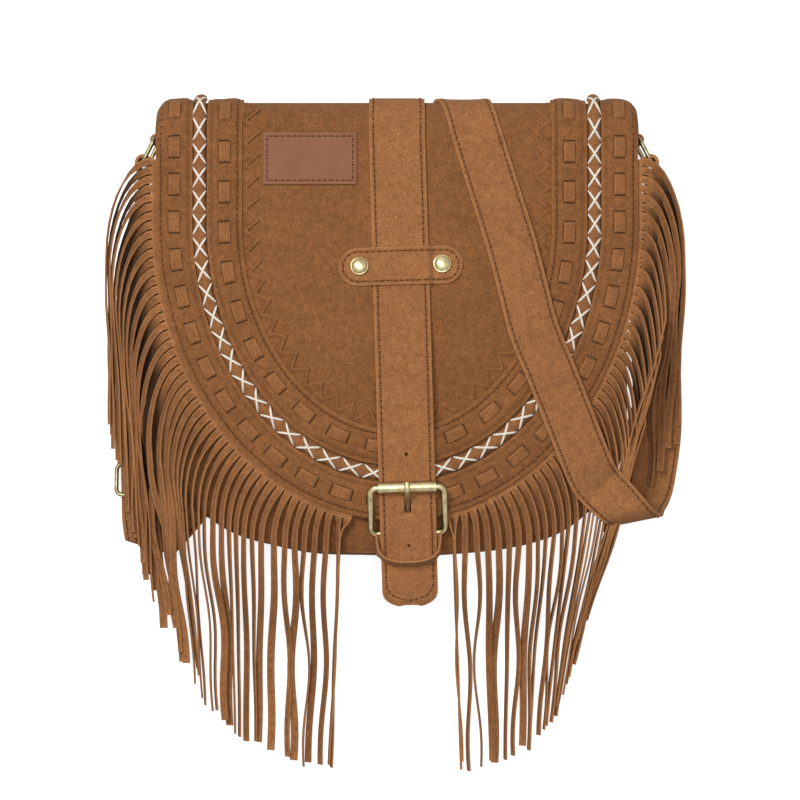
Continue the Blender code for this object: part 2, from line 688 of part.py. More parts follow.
def rivet_axis(side):
    """The rivet's place on the flap's inner face, with its axis square to the flap."""
    x, y = strap_xy(side * RIVET_V, BRIDGE_U)
    step = 0.002
    slope_x = (rise(x + step, y) - rise(x - step, y)) / (2 * step)
    slope_y = (rise(x, y + step) - rise(x, y - step)) / (2 * step)
    turn = Vector((-slope_x, -slope_y, 1)).to_track_quat("Z", "Y")
    return Matrix.Translation((x, y, rise(x, y))) @ turn.to_matrix().to_4x4()


def rivet_hole(name, side):
    bpy.ops.mesh.primitive_cylinder_add(vertices=10, radius=RIVET_SHANK / 2 + GAP, depth=0.02)
    made = bpy.context.object
    made.name = name
    made.matrix_world = rivet_axis(side)
    move_to(made, "cutters")
    return made


def build_bridge():
    """The riveted tab over the closing strap, with a rivet through each end."""
    high = STRAP_LOW + CLOSING_THICK + GAP + 0.0004
    low = PANEL_THICK + GAP
    half = BRIDGE_LENGTH / 2
    step = STRAP_WIDTH / 2 + 0.0012
    outs = ((-half, 0.55, low), (-half + 0.004, 0.92, low), (-half + 0.008, 1.0, low),
            (-step - 0.0022, 1.0, low), (-step, 1.0, high), (0.0, 1.0, high))
    outs = [*outs, *[(-v, share, h) for v, share, h in outs[-2::-1]]]

    def place(row, column):
        v, share, h = outs[row]
        x, y = strap_xy(v, BRIDGE_U + BRIDGE_WIDTH * share * (column / 2 - 0.5))
        over_x = x if abs(v) > step else strap_xy(0, BRIDGE_U)[0]
        return Vector((x, y, rise(over_x, y) + h + TAB_THICK / 2))

    bridge = sheet("strap_bridge", len(outs) - 1, 2, place, TAB_THICK, suede())
    for side in (-1, 1):
        cut(bridge, rivet_hole(f"bridge_hole_{side}", side))
        name = "rivet_left" if side < 0 else "rivet_right"
        build_rivet(name, side, low + TAB_THICK + 2 * LAYER_GAP + GAP / 2)


def build_rivet(name, side, seat):
    """A domed rivet, turned: cap, shank through tab and flap, and the flat head inside."""
    head, inside = 0.0008, -GAP - LAYER_GAP
    profile = [(0.0, seat + RIVET_RISE)]
    for i in range(1, 5):
        turn = math.pi / 2 * i / 4
        height = RIVET_EDGE + (RIVET_RISE - RIVET_EDGE) * math.cos(turn)
        profile.append((RIVET_DOME / 2 * math.sin(turn), seat + height))
    rim, shank, flat = RIVET_RIM / 2, RIVET_SHANK / 2, RIVET_RIM / 3
    profile += [(rim, seat + RIVET_EDGE), (rim, seat), (shank, seat), (shank, inside), (flat, inside),
                (flat, inside - head), (0.0, inside - head)]
    bm = bmesh.new()
    corners = [bm.verts.new((r, 0, z)) for r, z in profile]
    for a, b in zip(corners, corners[1:]):
        bm.edges.new((a, b))
    made = add_mesh(name, bm, brass())
    turned = made.modifiers.new("turned", "SCREW")
    turned.steps = turned.render_steps = 12
    turned.use_merge_vertices = True
    turned.merge_threshold = 0.00001
    made.matrix_world = rivet_axis(side)


def tilted(v, u, z):
    x, y = strap_xy(v, u)
    return Vector((x, y, z))


BAR_Z = strap_z(BAR_U) - GAP - 2 * PRONG_RADIUS - GAP - WIRE / 2 - 0.0001
ROLLER_Z = strap_z(ROLLER_U) + CLOSING_THICK + GAP + ROLLER_RADIUS


def build_buckle():
    """The frame, its roller on the top bar, and the prong on the hidden bar."""
    v, bend = (BUCKLE_WIDTH - WIRE) / 2, BUCKLE_BEND
    slope = (ROLLER_Z - BAR_Z) / (BAR_U - ROLLER_U)

    def on_frame(across, u):
        return tilted(across, u, BAR_Z + (BAR_U - u) * slope)

    points = []
    for side, bar, turn in ((1, ROLLER_U, 90), (1, BAR_U, 0), (-1, BAR_U, -90), (-1, ROLLER_U, 180)):
        inner_u = bar + bend if bar == ROLLER_U else bar - bend
        for i in range(4):
            angle = math.radians(turn - 30 * i)
            across = side * (v - bend) + bend * math.cos(angle)
            points.append(on_frame(across, inner_u - bend * math.sin(angle)))
    frame = wire("buckle_frame", points, WIRE / 2, brass(), closed=True)
    hang_on_curve(frame, tilted(0, BAR_U, BAR_Z))

    bore = WIRE / 2 + GAP
    reach = ROLLER_WIDTH / 2
    profile = [(ROLLER_RADIUS, -reach), (ROLLER_RADIUS, reach), (bore, reach), (bore, -reach)]
    turned_ring("buckle_roller", profile, tilted(0, ROLLER_U, ROLLER_Z), 14)
    top = ROLLER_Z + ROLLER_RADIUS + PRONG_CLEAR + PRONG_RADIUS
    strap = strap_z(BAR_U - 0.0195)
    run = ((BAR_U - 0.0095, strap - 0.0025), (BAR_U - 0.0147, strap - 0.0016),
           (BAR_U - 0.0200, strap + 0.0030), (BAR_U - 0.0232, ROLLER_Z + 0.0006), (ROLLER_U + 0.0010, top + 0.0001), (ROLLER_U - 0.0030, top - 0.0004))
    bar = (BAR_U, BAR_Z)
    build_prong("buckle_prong", bar, PRONG_RADIUS, WIRE / 2, run, lambda u, z: tilted(0, u, z))


def hang_on_curve(made, pivot):
    for spline in made.data.splines:
        for point in spline.points:
            point.co = (*(Vector(point.co[:3]) - Vector(pivot)), 1)
    made.location = pivot


def turned_ring(name, profile, centre, steps):
    """A closed profile, radius and place across the strap, turned about the strap's cross direction."""
    bm = bmesh.new()
    corners = [bm.verts.new((r, 0, along)) for r, along in profile]
    for a, b in zip(corners, [*corners[1:], corners[0]]):
        bm.edges.new((a, b))
    made = add_mesh(name, bm, brass())
    turned = made.modifiers.new("turned", "SCREW")
    turned.steps = turned.render_steps = steps
    turned.use_merge_vertices = True
    turned.merge_threshold = 0.00001
    turned.use_normal_flip = True
    made.matrix_world = Matrix.Translation(centre) @ STRAP_FRAME @ Matrix.Rotation(math.pi / 2, 4, "Y")
    return made


def build_prong(name, bar, radius, bar_radius, run, to_world):
    """A prong: an eye round its bar, then a run through the strap onto the far bar, both given as u, z."""
    eye = bar_radius + GAP + radius
    points = []
    for i in range(7):
        turn = math.radians(-175 + 265 * i / 7)
        points.append((bar[0] + eye * math.cos(turn), bar[1] + eye * math.sin(turn)))
    points += plane_curve(((bar[0], bar[1] + eye), *run), 3)
    made = wire(name, [to_world(u, z) for u, z in points], radius, brass(), sides=2)
    hang_on_curve(made, to_world(*bar))


def plane_curve(points, steps):
    """A smooth curve through points of a plane."""
    full = through([(Vector((a, b, 0)), Vector((1, 0, 0))) for a, b in points], steps)
    return [(p.x, p.y) for p, _ in full]


def build_buckle_tab():
    """The tab folded round the buckle's bar, with a slot for the prong, sewn to the front panel."""
    eye = WIRE / 2 + GAP + LAYER_GAP + TAB_THICK / 2
    path = []
    x, y = strap_xy(0, TAB_END_U)
    seat = rise(x, y) - FLAP_CLEAR + GAP + TAB_THICK / 2
    path.append((TAB_END_U, seat))
    path.append((BAR_U + 0.005, seat + 0.0003))
    for i in range(9):
        angle = math.radians(-70 - 25 * i)
        path.append((BAR_U + eye * math.cos(angle), BAR_Z + eye * math.sin(angle)))
    path.append((BAR_U + 0.006, seat + TAB_THICK + GAP + 0.0020))
    path.append((TAB_END_U, seat + TAB_THICK + GAP))
    stations = [(tilted(0, u, z), STRAP_ACROSS) for u, z in path]
    tab = ribbon("buckle_tab", stations, TAB_WIDTH, TAB_THICK, suede())
    cut(tab, box_cutter("prong_slot", tilted(0, BAR_U - 0.0005, BAR_Z), (0.0046, 0.0190, 0.012)))


def build_keeper():
    """The loop that holds the strap's end down, its ends meeting under the strap."""
    half, round_by = KEEPER_SPAN / 2, 0.0015
    low = -GAP - SKIN_THICK / 2 - 0.0002
    high = CLOSING_THICK + GAP + SKIN_THICK / 2 + 0.0004
    path = ((0.0003, low), (half - round_by, low), (half, low + round_by), (half, high - round_by),
            (half - round_by, high), (0.0, high + 0.0006), (-half + round_by, high), (-half, high - round_by),
            (-half, low + round_by), (-half + round_by, low), (-0.0003, low))
    reach = KEEPER_WIDTH / 2
    slope = (strap_z(KEEPER_U + reach) - strap_z(KEEPER_U - reach)) / KEEPER_WIDTH
    down = STRAP_DOWN + Vector((0, 0, slope))
    stations = [(strap_point(v, KEEPER_U, h), down) for v, h in path]
    ribbon("keeper_loop", stations, KEEPER_WIDTH, SKIN_THICK, suede())


def build_patch():
    def place(row, column):
        x = PATCH_X + PATCH_WIDTH * (row / 3 - 0.5)
        y = PATCH_Y + PATCH_HEIGHT * (column / 2 - 0.5)
        return flap_point(x, y, LAYER_2 + SKIN_THICK / 2)

    sheet("label_patch", 3, 2, place, SKIN_THICK, material("smooth_leather", (0.42, 0.21, 0.11), 0.6))


def ring_point(side, out, z):
    """A point in a ring's plane: out from its bar, which stands along Z."""
    return Vector((side * (RING_X + out * math.sin(RING_LEAN)), RING_Y - out * math.cos(RING_LEAN), z))


def build_ring(side):
    name = "left" if side < 0 else "right"
    half, bend, points = RING_SPAN / 2, RING_BEND, []
    for out, z, turn in ((RING_REACH, half, 90), (RING_REACH, -half, 0), (0, -half, -90), (0, half, 180)):
        middle_out = out - bend if out else bend
        middle_z = z - math.copysign(bend, z)
        for i in range(3):
            angle = math.radians(turn - 45 * i)
            out_by, up_by = bend * math.cos(angle), bend * math.sin(angle)
            points.append(ring_point(side, middle_out + out_by, RING_Z + middle_z + up_by))
    ring = wire(f"strap_ring_{name}", points, RING_WIRE / 2, brass(), closed=True, sides=2)
    hang_on_curve(ring, (side * RING_X, RING_Y, RING_Z))

    eye = RING_WIRE / 2 + LOOP_GAP + TAB_THICK / 2
    wall = BODY_HALF_WIDTH + PANEL_THICK / 2 + TAB_THICK / 2
    path = [(wall, GUSSET_TOP_Y - 0.030), (wall, RING_Y + 0.001)]
    for i in range(8):
        turn = math.radians(150 - 34 * i)
        path.append((RING_X + eye * math.cos(turn), RING_Y + eye * math.sin(turn)))
    path += [(wall + TAB_THICK + 2 * GAP, RING_Y - 0.009), (wall + TAB_THICK + GAP, GUSSET_TOP_Y - 0.030)]
    stations = [(Vector((side * x, y, RING_Z + 0.0005)), Vector((0, 0, 1))) for x, y in path]
    ribbon(f"side_tab_{name}", stations, SIDE_TAB_WIDTH, TAB_THICK, suede())


def ring_loop(side):
    """Stations of a strap's end round the far side of a ring, from its cut end to where it leads away."""
    far = ring_point(side, RING_REACH, RING_Z)
    eye = RING_WIRE / 2 + RING_SLACK + SHOULDER_THICK / 2
    path = [(SHOULDER_THICK + GAP, -0.028), (0.0020, -0.012)]
    for i in range(8):
        turn = math.radians(-20 + 32 * i)
        path.append((eye * math.cos(turn), eye * math.sin(turn)))
    path.append((-0.0006, -0.011))
    found = []
    for x, y in path:
        found.append((far + Vector((side * x, y, 0)), Vector((0, 0, 1))))
    return found


def laid(x, v, degrees, left_h, right_h):
    """A station of the shoulder strap on the flap, running down at so many degrees to the right."""
    turn = math.radians(degrees)
    side_x, side_v = SHOULDER_WIDTH / 2 * math.cos(turn), SHOULDER_WIDTH / 2 * math.sin(turn)
    left, right = flap_point(x - side_x, v - side_v, left_h), flap_point(x + side_x, v + side_v, right_h)
    return (left + right) / 2, (right - left).normalized()


def build_shoulder_strap():
    half = SHOULDER_THICK / 2
    top_h = PANEL_THICK + LAYER_GAP + half + GAP
    over = []
    for degrees in (145, 120, 90, 60, 30, 0):
        along = math.radians(degrees) * FOLD_RADIUS
        over.append(laid(0.0490 - 0.305 * along, FOLD_Y + along, 17, top_h, top_h))
    stations = [laid(x, y, turn, top_h + a, top_h + b) for x, y, turn, a, b in SHOULDER_FRONT]
    under = [(Vector((x, y, LOWEST + z)), Vector((*across, 0))) for x, y, z, across in SHOULDER_UNDER]
    curl = [(Vector((x, y, z)), Vector(across)) for x, y, z, across in SHOULDER_CURL]
    leave = ring_loop(1)[::-1]
    route = [*under[::-1], *over, *stations, *curl]
    stations = [*through(route, 2), *leave]
    long = ribbon("shoulder_strap_long", stations, SHOULDER_WIDTH, SHOULDER_THICK, suede())
    cut(long, adjuster_cutter("adjuster_hole", ADJUSTER_Y - 0.0100, 0.0105))

    eye = RING_WIRE / 2 + LOOP_GAP + half
    bar_z = ADJUSTER_BAR_Z
    path = [(ADJUSTER_Y + 0.020, bar_z + eye + 0.0002)]
    for i in range(8):
        turn = math.radians(90 + 25.7 * i)
        path.append((ADJUSTER_Y + eye * math.cos(turn), bar_z + eye * math.sin(turn)))
    short = [(Vector((ADJUSTER_X, y, z)), Vector((1, 0, 0))) for y, z in path]
    rising = [(Vector((x, y, z)), Vector(across)) for x, y, z, across in SHORT_RISE]
    rising = through(rising, 2)
    end = [(p, -a) for p, a in ring_loop(-1)[::-1]]
    stations = [*short, *rising, *end]
    short_strap = ribbon("shoulder_strap_short", stations, SHOULDER_WIDTH, SHOULDER_THICK, suede())
    cut(short_strap, adjuster_cutter("adjuster_slot", ADJUSTER_Y - 0.0010, 0.0125))


def adjuster_cutter(name, y, length):
    bpy.ops.mesh.primitive_cube_add(size=1, location=(0, 0, 0))
    made = bpy.context.object
    made.name = name
    made.data.transform(Matrix.Diagonal((4 * ADJUSTER_PRONG, length, 0.022, 1)))
    made.location = (ADJUSTER_X, y, 0.0080)
    move_to(made, "cutters")
    return made


def build_adjuster():
    """The strap's own buckle: a frame whose upper bar carries the short strap and the prong."""
    v, bend = (ADJUSTER_WIDTH - RING_WIRE) / 2, RING_BEND
    far_y = ADJUSTER_Y - ADJUSTER_LENGTH + RING_WIRE
    far_z = ADJUSTER_BAR_Z + ADJUSTER_LIFT
    points = []
    for side, y, turn in ((1, ADJUSTER_Y, 90), (1, far_y, 0), (-1, far_y, -90), (-1, ADJUSTER_Y, 180)):
        inner = y - bend if y == ADJUSTER_Y else y + bend
        for i in range(4):
            angle = math.radians(turn - 30 * i)
            place_y = inner + bend * math.sin(angle)
            share = (ADJUSTER_Y - place_y) / (ADJUSTER_Y - far_y)
            z = ADJUSTER_BAR_Z + (far_z - ADJUSTER_BAR_Z) * share
            points.append(Vector((ADJUSTER_X + side * (v - bend) + bend * math.cos(angle), place_y, z)))
    frame = wire("adjuster_frame", points, RING_WIRE / 2, brass(), closed=True)
    hang_on_curve(frame, (ADJUSTER_X, ADJUSTER_Y, ADJUSTER_BAR_Z))
    top = far_z + RING_WIRE / 2 + GAP + ADJUSTER_PRONG
    bar = (-ADJUSTER_Y, ADJUSTER_BAR_Z)
    run = ((bar[0] + 0.0040, bar[1] + 0.0030), (bar[0] + 0.0095, bar[1] + 0.0044),
           (bar[0] + 0.0135, bar[1] + 0.0068), (-far_y - 0.0005, top), (-far_y + 0.0030, top - 0.0004))
    to_world = lambda u, z: Vector((ADJUSTER_X, -u, z))
    build_prong("adjuster_prong", bar, ADJUSTER_PRONG, RING_WIRE / 2, run, to_world)


def main():
    for old in list(bpy.data.objects):
        bpy.data.objects.remove(old)
    for name in ("fringed_suede_bag", "cutters"):
        made = bpy.data.collections.get(name) or bpy.data.collections.new(name)
        if name not in bpy.context.scene.collection.children:
            bpy.context.scene.collection.children.link(made)
    build_body()
    build_flap()
    build_band("outer_band", OUTER_BAND_INSET, OUTER_BAND_WIDTH, OUTER_LACES)
    build_band("inner_band", INNER_BAND_INSET, INNER_BAND_WIDTH, INNER_LACES)
    build_overlay()
    build_piping()
    build_cross_lace()
    build_fringe("fringe_left", -1, LEFT_LANES, LEFT_REST)
    build_fringe("fringe_right", 1, RIGHT_LANES, RIGHT_REST)
    build_closing_strap()
    build_bridge()
    build_buckle()
    build_buckle_tab()
    build_keeper()
    build_patch()
    build_ring(-1)
    build_ring(1)
    build_shoulder_strap()
    build_adjuster()


main()
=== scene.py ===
"""The visible suede, cord and brass of a fringed shoulder bag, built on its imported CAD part."""

import math
import random

import bpy
import numpy as np
from bpy.props import FloatProperty, FloatVectorProperty, IntProperty, PointerProperty
from mathutils import Matrix, Vector, noise


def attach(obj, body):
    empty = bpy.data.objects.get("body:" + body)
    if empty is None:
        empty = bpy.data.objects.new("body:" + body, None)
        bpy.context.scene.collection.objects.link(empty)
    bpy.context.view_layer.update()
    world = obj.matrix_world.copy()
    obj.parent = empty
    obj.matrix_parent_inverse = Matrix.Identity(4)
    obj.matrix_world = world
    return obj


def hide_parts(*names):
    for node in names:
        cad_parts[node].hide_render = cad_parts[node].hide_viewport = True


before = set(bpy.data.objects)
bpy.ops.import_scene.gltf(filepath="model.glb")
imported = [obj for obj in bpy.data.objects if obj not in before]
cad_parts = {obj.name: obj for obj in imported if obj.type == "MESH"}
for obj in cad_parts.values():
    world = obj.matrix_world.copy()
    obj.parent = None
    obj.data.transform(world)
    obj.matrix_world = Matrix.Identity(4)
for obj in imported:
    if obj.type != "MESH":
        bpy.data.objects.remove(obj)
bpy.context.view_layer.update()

bl_info = {
    "name": "Fringed suede bag",
    "version": (1, 0, 0),
    "blender": (4, 5, 0),
    "location": "3D View > Sidebar > Bag",
    "description": "Builds the suede, laces, fringe and brass of a shoulder bag piece by piece",
    "category": "Object",
}

# Flap, unrolled: x across, v up its front and over the fold
FLAP_HALF_WIDTH = 0.1506
FLAP_CURVE_Y, FLAP_CURVE_DROP = 0.0662, 0.1869
INSET_GROWTH = 1.07
FOLD_Y, FOLD_RADIUS, ROOT_LENGTH = 0.1235, 0.0175, 0.012
CORNER_DROP, CORNER_WIDTH = 0.0085, 0.012
EDGE_HEIGHT, CROWN, CROWN_END_Y, CROWN_SKEW = 0.038, 0.015, -0.132, 0.95

# Layers
PANEL, SKIN, BAND, LACE = 0.0016, 0.0012, 0.0014, 0.0009
GAP, LAYER_GAP = 0.0003, 0.0005
BACK_LIFT = 0.0034
FOLD_BACK = BACK_LIFT + 2 * PANEL + GAP
FOLD_Z = FOLD_RADIUS + FOLD_BACK
FOLD_HEIGHT = FOLD_Z + FOLD_RADIUS
ROOT_V = FOLD_Y + math.pi * FOLD_RADIUS
LAYER_2 = PANEL + LAYER_GAP
LAYER_3 = LAYER_2 + SKIN + LAYER_GAP
BAND_TOP = LAYER_3 + BAND

# Body
BODY_HALF_WIDTH, BODY_CURVE_Y, BODY_DROP, BODY_ROUNDNESS = 0.143, -0.040, 0.101, 3.0
BODY_TOP_Y, GUSSET_TOP_Y, FLAP_CLEAR = 0.1205, 0.127, 0.0022
GROOVE_FLAT, GROOVE_EDGE = 0.023, 0.045

# Bands, laces, piping and crossed cord
OUTER = {"inset": 0.0116, "width": 0.0228, "laces": 28, "seam": -1}
INNER = {"inset": 0.0430, "width": 0.0220, "laces": 22, "seam": 1}
BAND_ANGLE = 1.75
LACE_WIDTH, LACE_OVER = 0.0068, 0.0116
SEAM_IN, STRAP_SEAM_IN, TAB_SEAM_IN, NO_SEAM = 0.0031, 0.0027, 0.0026, 0.5
PIPING_INSET, PIPING_WIDTH, PIPING_HEIGHT = 0.0273, 0.0076, 0.0050
OVERLAY_INSET, OVERLAY_VALLEY, OVERLAY_TIP, OVERLAY_PITCH = 0.0500, 0.0570, 0.0650, 0.0129
CROSSES = 41

# Fringe
FRINGE_PITCH, FRINGE_CUT, FRINGE_THICK = 0.0057, 0.0008, 0.0010
FRINGE_START_Y, FRINGE_STOP_X, FRINGE_TUCK, FRINGE_MARGIN = 0.1070, 0.0265, 0.0065, 0.0026
SIDE_LENGTH, BOTTOM_LENGTH = 0.186, 0.160
LEFT_LANES = (((0, 0.1822), (8, 0.1750), (14, 0.1690), (20, 0.1610), (26, 0.1450), (33, 0.1210), (40, 0.0850),
               (47, 0.0370)),
              ((0, 0.1822), (8, 0.1715), (14, 0.1620), (20, 0.1470), (33, 0.1140), (40, 0.0860),
               (47, 0.0440)))
RIGHT_LANES = (((0, 0.1790), (6, 0.1700), (7, 0.1685), (14, 0.1620), (20, 0.1540), (26, 0.1410), (33, 0.1180),
                (40, 0.0830), (47, 0.0360)),
               ((0, 0.1790), (6, 0.1620), (7, 0.1350), (28, 0.1080), (33, 0.1010), (40, 0.0790),
                (47, 0.0410)))
LEFT_REST, RIGHT_REST = 0.0196, 0.0084
SIDE_SINK_Y, CURL_INNER_X, CURL_INNER_Y, FLOOR_REST = 0.030, 0.150, -0.100, 0.0032
UNDER_DEPTH, UNDER_DROP = 0.014, 0.0042

# Closing strap: u down from its top end, v across
STRAP_TOP = (-0.0006, 0.1412)
STRAP_TILT = math.radians(1.65)
STRAP_WIDTH, STRAP_THICK, STRAP_END_ANGLE = 0.0348, 0.0024, 1.7
BAR_U, ROLLER_U, KEEPER_U, TAB_END_U, STRAP_TIP_U = 0.2695, 0.2405, 0.2830, 0.2860, 0.3145
HOLES_U, HOLE_RADIUS, KNIFE_DEPTH, TIP_LENGTH = (0.2200, 0.2770), 0.0011, 0.012, 0.0095
STRAP_LOW, STRAP_HIGH = LAYER_2, 0.0096
BRIDGE_U, BRIDGE_LENGTH, BRIDGE_WIDTH = 0.1028, 0.0770, 0.0237
STRAP_BED = ((0.0, STRAP_LOW), (0.135, STRAP_LOW), (0.195, 0.0090), (0.215, STRAP_HIGH), (0.268, STRAP_HIGH),
             (0.283, 0.0062), (STRAP_TIP_U, 0.0050))
RIVET_V, RIVET_DOME, RIVET_RIM, RIVET_RISE = 0.0256, 0.0106, 0.0112, 0.0030

# Buckle
BUCKLE_WIDTH, BUCKLE_BEND, WIRE = 0.0495, 0.0042, 0.0034
ROLLER_WIDTH, ROLLER_RADIUS, PRONG_RADIUS, PRONG_CLEAR = 0.0366, 0.0036, 0.0014, 0.0008
TAB_WIDTH, TAB_THICK = 0.0275, 0.0014
KEEPER_WIDTH, KEEPER_SPAN = 0.0130, 0.0405

# Patch, shoulder strap, rings and adjuster
PATCH_X, PATCH_Y, PATCH_WIDTH, PATCH_HEIGHT = -0.0544, 0.1060, 0.0588, 0.0330
SHOULDER_WIDTH, SHOULDER_THICK = 0.0310, 0.0020
RING_WIRE, RING_SPAN, RING_REACH, RING_BEND = 0.0028, 0.0350, 0.0165, 0.0035
RING_X, RING_Y, RING_Z = 0.1520, 0.1190, 0.0200
RING_LEAN, RING_SLACK, LOOP_GAP, SIDE_TAB_WIDTH = math.radians(27), 0.0018, 0.0007, 0.0215
ADJUSTER_X, ADJUSTER_Y, ADJUSTER_WIDTH, ADJUSTER_LENGTH = -0.1600, -0.0860, 0.0400, 0.0220
ADJUSTER_LIFT, ADJUSTER_PRONG = 0.0046, 0.0011
ADJUSTER_BAR_Z = SHOULDER_THICK + GAP + LOOP_GAP + RING_WIRE / 2
SIDE_RUN_X = 0.1640
LOWEST = GAP + SHOULDER_THICK / 2
SHOULDER_FRONT = ((0.0585, 0.0930, 17, 0.0, 0.0), (0.0708, 0.0531, 17, 0.0004, 0.0024),
                  (0.0782, 0.0240, 18, 0.0026, 0.0056), (0.0850, -0.0020, 20, 0.0056, 0.0072),
                  (0.0957, -0.0279, 20, 0.0074, 0.0078), (0.1116, -0.0675, 24, 0.0078, 0.0078),
                  (0.1214, -0.0911, 30, 0.0078, 0.0084))
SHOULDER_UNDER = ((0.0310, 0.1285, 0.0020 - LOWEST, (0.95, -0.30)), (0.0240, 0.0990, 0.0, (0.93, -0.36)),
                  (-0.0120, 0.0600, 0.0, (0.86, -0.50)), (-0.0520, 0.0000, 0.0, (0.81, -0.58)),
                  (-0.1000, -0.0650, 0.0, (0.81, -0.58)), (-0.1340, -0.1110, 0.0, (0.86, -0.50)),
                  (-0.1530, -0.1340, 0.0006, (0.93, -0.36)), (-0.1575, -0.1385, 0.0030, (0.95, -0.30)),
                  (-0.1590, -0.1330, 0.0050, (0.97, -0.22)), (ADJUSTER_X, -0.1180, 0.0036, (1, -0.05)),
                  (ADJUSTER_X, -0.1050, 0.0042, (1, 0)), (ADJUSTER_X, -0.0880, 0.0098, (1, 0)),
                  (ADJUSTER_X, -0.0700, 0.0094, (1, 0)), (ADJUSTER_X, -0.0480, 0.0078, (1, 0)))
SHOULDER_CURL = ((0.1277, -0.0997, 0.0478, (0.74, 0.67, -0.02)), (0.1344, -0.1068, 0.0488, (0.84, 0.53, -0.02)),
                 (0.1432, -0.1157, 0.0476, (0.94, 0.32, 0)), (0.1506, -0.1202, 0.0370, (0.98, 0.20, 0)),
                 (0.1540, -0.1172, 0.0225, (0.97, 0.22, 0)), (0.1582, -0.1105, 0.0105, (0.98, 0.17, 0)),
                 (0.1622, -0.0960, 0.0026, (1, 0.06, 0)), (SIDE_RUN_X + 0.0022, -0.0600, LOWEST, (1, 0, 0)),
                 (SIDE_RUN_X + 0.0008, 0.0000, LOWEST + 0.0011, (1, 0, 0)),
                 (0.1635, 0.0320, 0.0072, (0.96, 0, 0.25)), (0.1620, 0.0600, 0.0170, (0.55, 0, 0.80)))
SHORT_RISE = ((ADJUSTER_X, ADJUSTER_Y + 0.0300, LOWEST, (1, 0, 0)),
              (ADJUSTER_X - 0.0020, 0.0000, LOWEST + 0.0008, (1, 0, 0)),
              (-0.1635, 0.0320, 0.0072, (0.96, 0, -0.25)), (-0.1620, 0.0600, 0.0170, (0.55, 0, -0.80)))
STRAP_FRAME = Matrix.Rotation(STRAP_TILT, 4, "Z")
STRAP_ACROSS = Vector((math.cos(STRAP_TILT), math.sin(STRAP_TILT), 0))
STRAP_DOWN = Vector((math.sin(STRAP_TILT), -math.cos(STRAP_TILT), 0))

# Stage
BLACK, WHITE = (0, 0, 0, 1), (1, 1, 1, 1)
CAMERA_AT, CAMERA_LENS, CAMERA_SENSOR = (0.0019, -0.0450, 2.0), 140.8, 36
LAMPS = (("key", (-0.75, 0.80, 2.1), 0.6, 31.0), ("overhead", (0.1, 0.0, 2.5), 1.0, 27.5))
ROOM_LIGHT, FLOOR_SHADE, FLOOR_GLOW, FLOOR_Z = 0.13, 0.55, 0.80, -0.0004


class BagSizes(bpy.types.PropertyGroup):
    """Sizes of the sewing and the liveliness of the suede."""

    stitch_pitch: FloatProperty(name="Stitch pitch", description="From one needle hole to the next",
                                default=0.0038, min=0.002, max=0.008, unit="LENGTH")
    stitch_width: FloatProperty(name="Thread width", description="Width of one stitch",
                                default=0.0012, min=0.0003, max=0.002, unit="LENGTH")
    cord_width: FloatProperty(name="Cord width", description="Width of the crossed white cord",
                              default=0.0015, min=0.0008, max=0.003, unit="LENGTH")
    wave: FloatProperty(name="Wave", description="How far the bands rise and sink between their laces",
                        default=0.0007, min=0.0, max=0.002, unit="LENGTH")
    fringe_sway: FloatProperty(name="Fringe sway", description="How far a strip's end wanders from its lane",
                               default=0.0035, min=0.0, max=0.01, unit="LENGTH")
    fringe_seed: IntProperty(name="Fringe seed", description="Another fall of the strips", default=7, min=0,
                             subtype="UNSIGNED")


class BagColours(bpy.types.PropertyGroup):
    """Colours of the suede, the cord, the thread and the brass."""

    suede: FloatVectorProperty(name="Suede", description="Bands, straps and fringe", subtype="COLOR",
                               default=(0.322, 0.135, 0.050), min=0, max=1)
    band: FloatVectorProperty(name="Band suede", description="The two bands round the flap", subtype="COLOR",
                              default=(0.240, 0.096, 0.033), min=0, max=1)
    centre: FloatVectorProperty(name="Centre suede", description="Middle of the flap and the body",
                                subtype="COLOR", default=(0.238, 0.096, 0.033), min=0, max=1)
    # Paler than the suede: partly the real fibrous cut side, partly a painted highlight where the cut edges
    # catch the light.
    edge: FloatVectorProperty(name="Cut edge", description="The pale cut sides of the suede", subtype="COLOR",
                              default=(0.50, 0.25, 0.105), min=0, max=1)
    patch: FloatVectorProperty(name="Patch", description="The smooth patch", subtype="COLOR",
                               default=(0.245, 0.094, 0.042), min=0, max=1)
    cord: FloatVectorProperty(name="White cord", description="The crossed cord", subtype="COLOR",
                              default=(0.92, 0.86, 0.77), min=0, max=1)
    thread: FloatVectorProperty(name="Thread", description="The sewing thread", subtype="COLOR",
                                default=(0.105, 0.036, 0.012), min=0, max=1)
    brass: FloatVectorProperty(name="Brass", description="Rivets, buckle and rings", subtype="COLOR",
                               default=(0.58, 0.50, 0.29), min=0, max=1)


def sizes():
    return bpy.context.scene.bag_sizes


def colours():
    return bpy.context.scene.bag_colours


def clamp(t):
    return min(1.0, max(0.0, t))


def smooth(t):
    t = clamp(t)
    return t * t * (3 - 2 * t)


def knots(points, t):
    """The value at t on straight runs between the points."""
    return float(np.interp(t, [p[0] for p in points], [p[1] for p in points]))


def rise(x, y):
    """Height of the flap's inner face over the front."""
    t = clamp((FOLD_Y - y) / (FOLD_Y - CROWN_END_Y))
    across = 1 - min(1.0, (x / FLAP_HALF_WIDTH) ** 2)
    base = FOLD_HEIGHT + (EDGE_HEIGHT - FOLD_HEIGHT) * smooth(t)
    return base + CROWN * across * math.sin(math.pi * t**CROWN_SKEW) ** 2


def puckers(x, v):
    """The sewn layers' own rise and fall: slow along the bands, finer where they bend over the top."""
    reach = smooth((math.hypot(x / 0.105, max(0.0, FLAP_CURVE_Y - v) / 0.125) - 0.92) / 0.15)
    slow = noise.noise(Vector((x * 42, v * 42, 3.1)))
    top = smooth((v - FOLD_Y + 0.020) / 0.020) * noise.noise(Vector((x * 110, v * 30, 8.4)))
    return sizes().wave * reach * (slow + 1.1 * top)


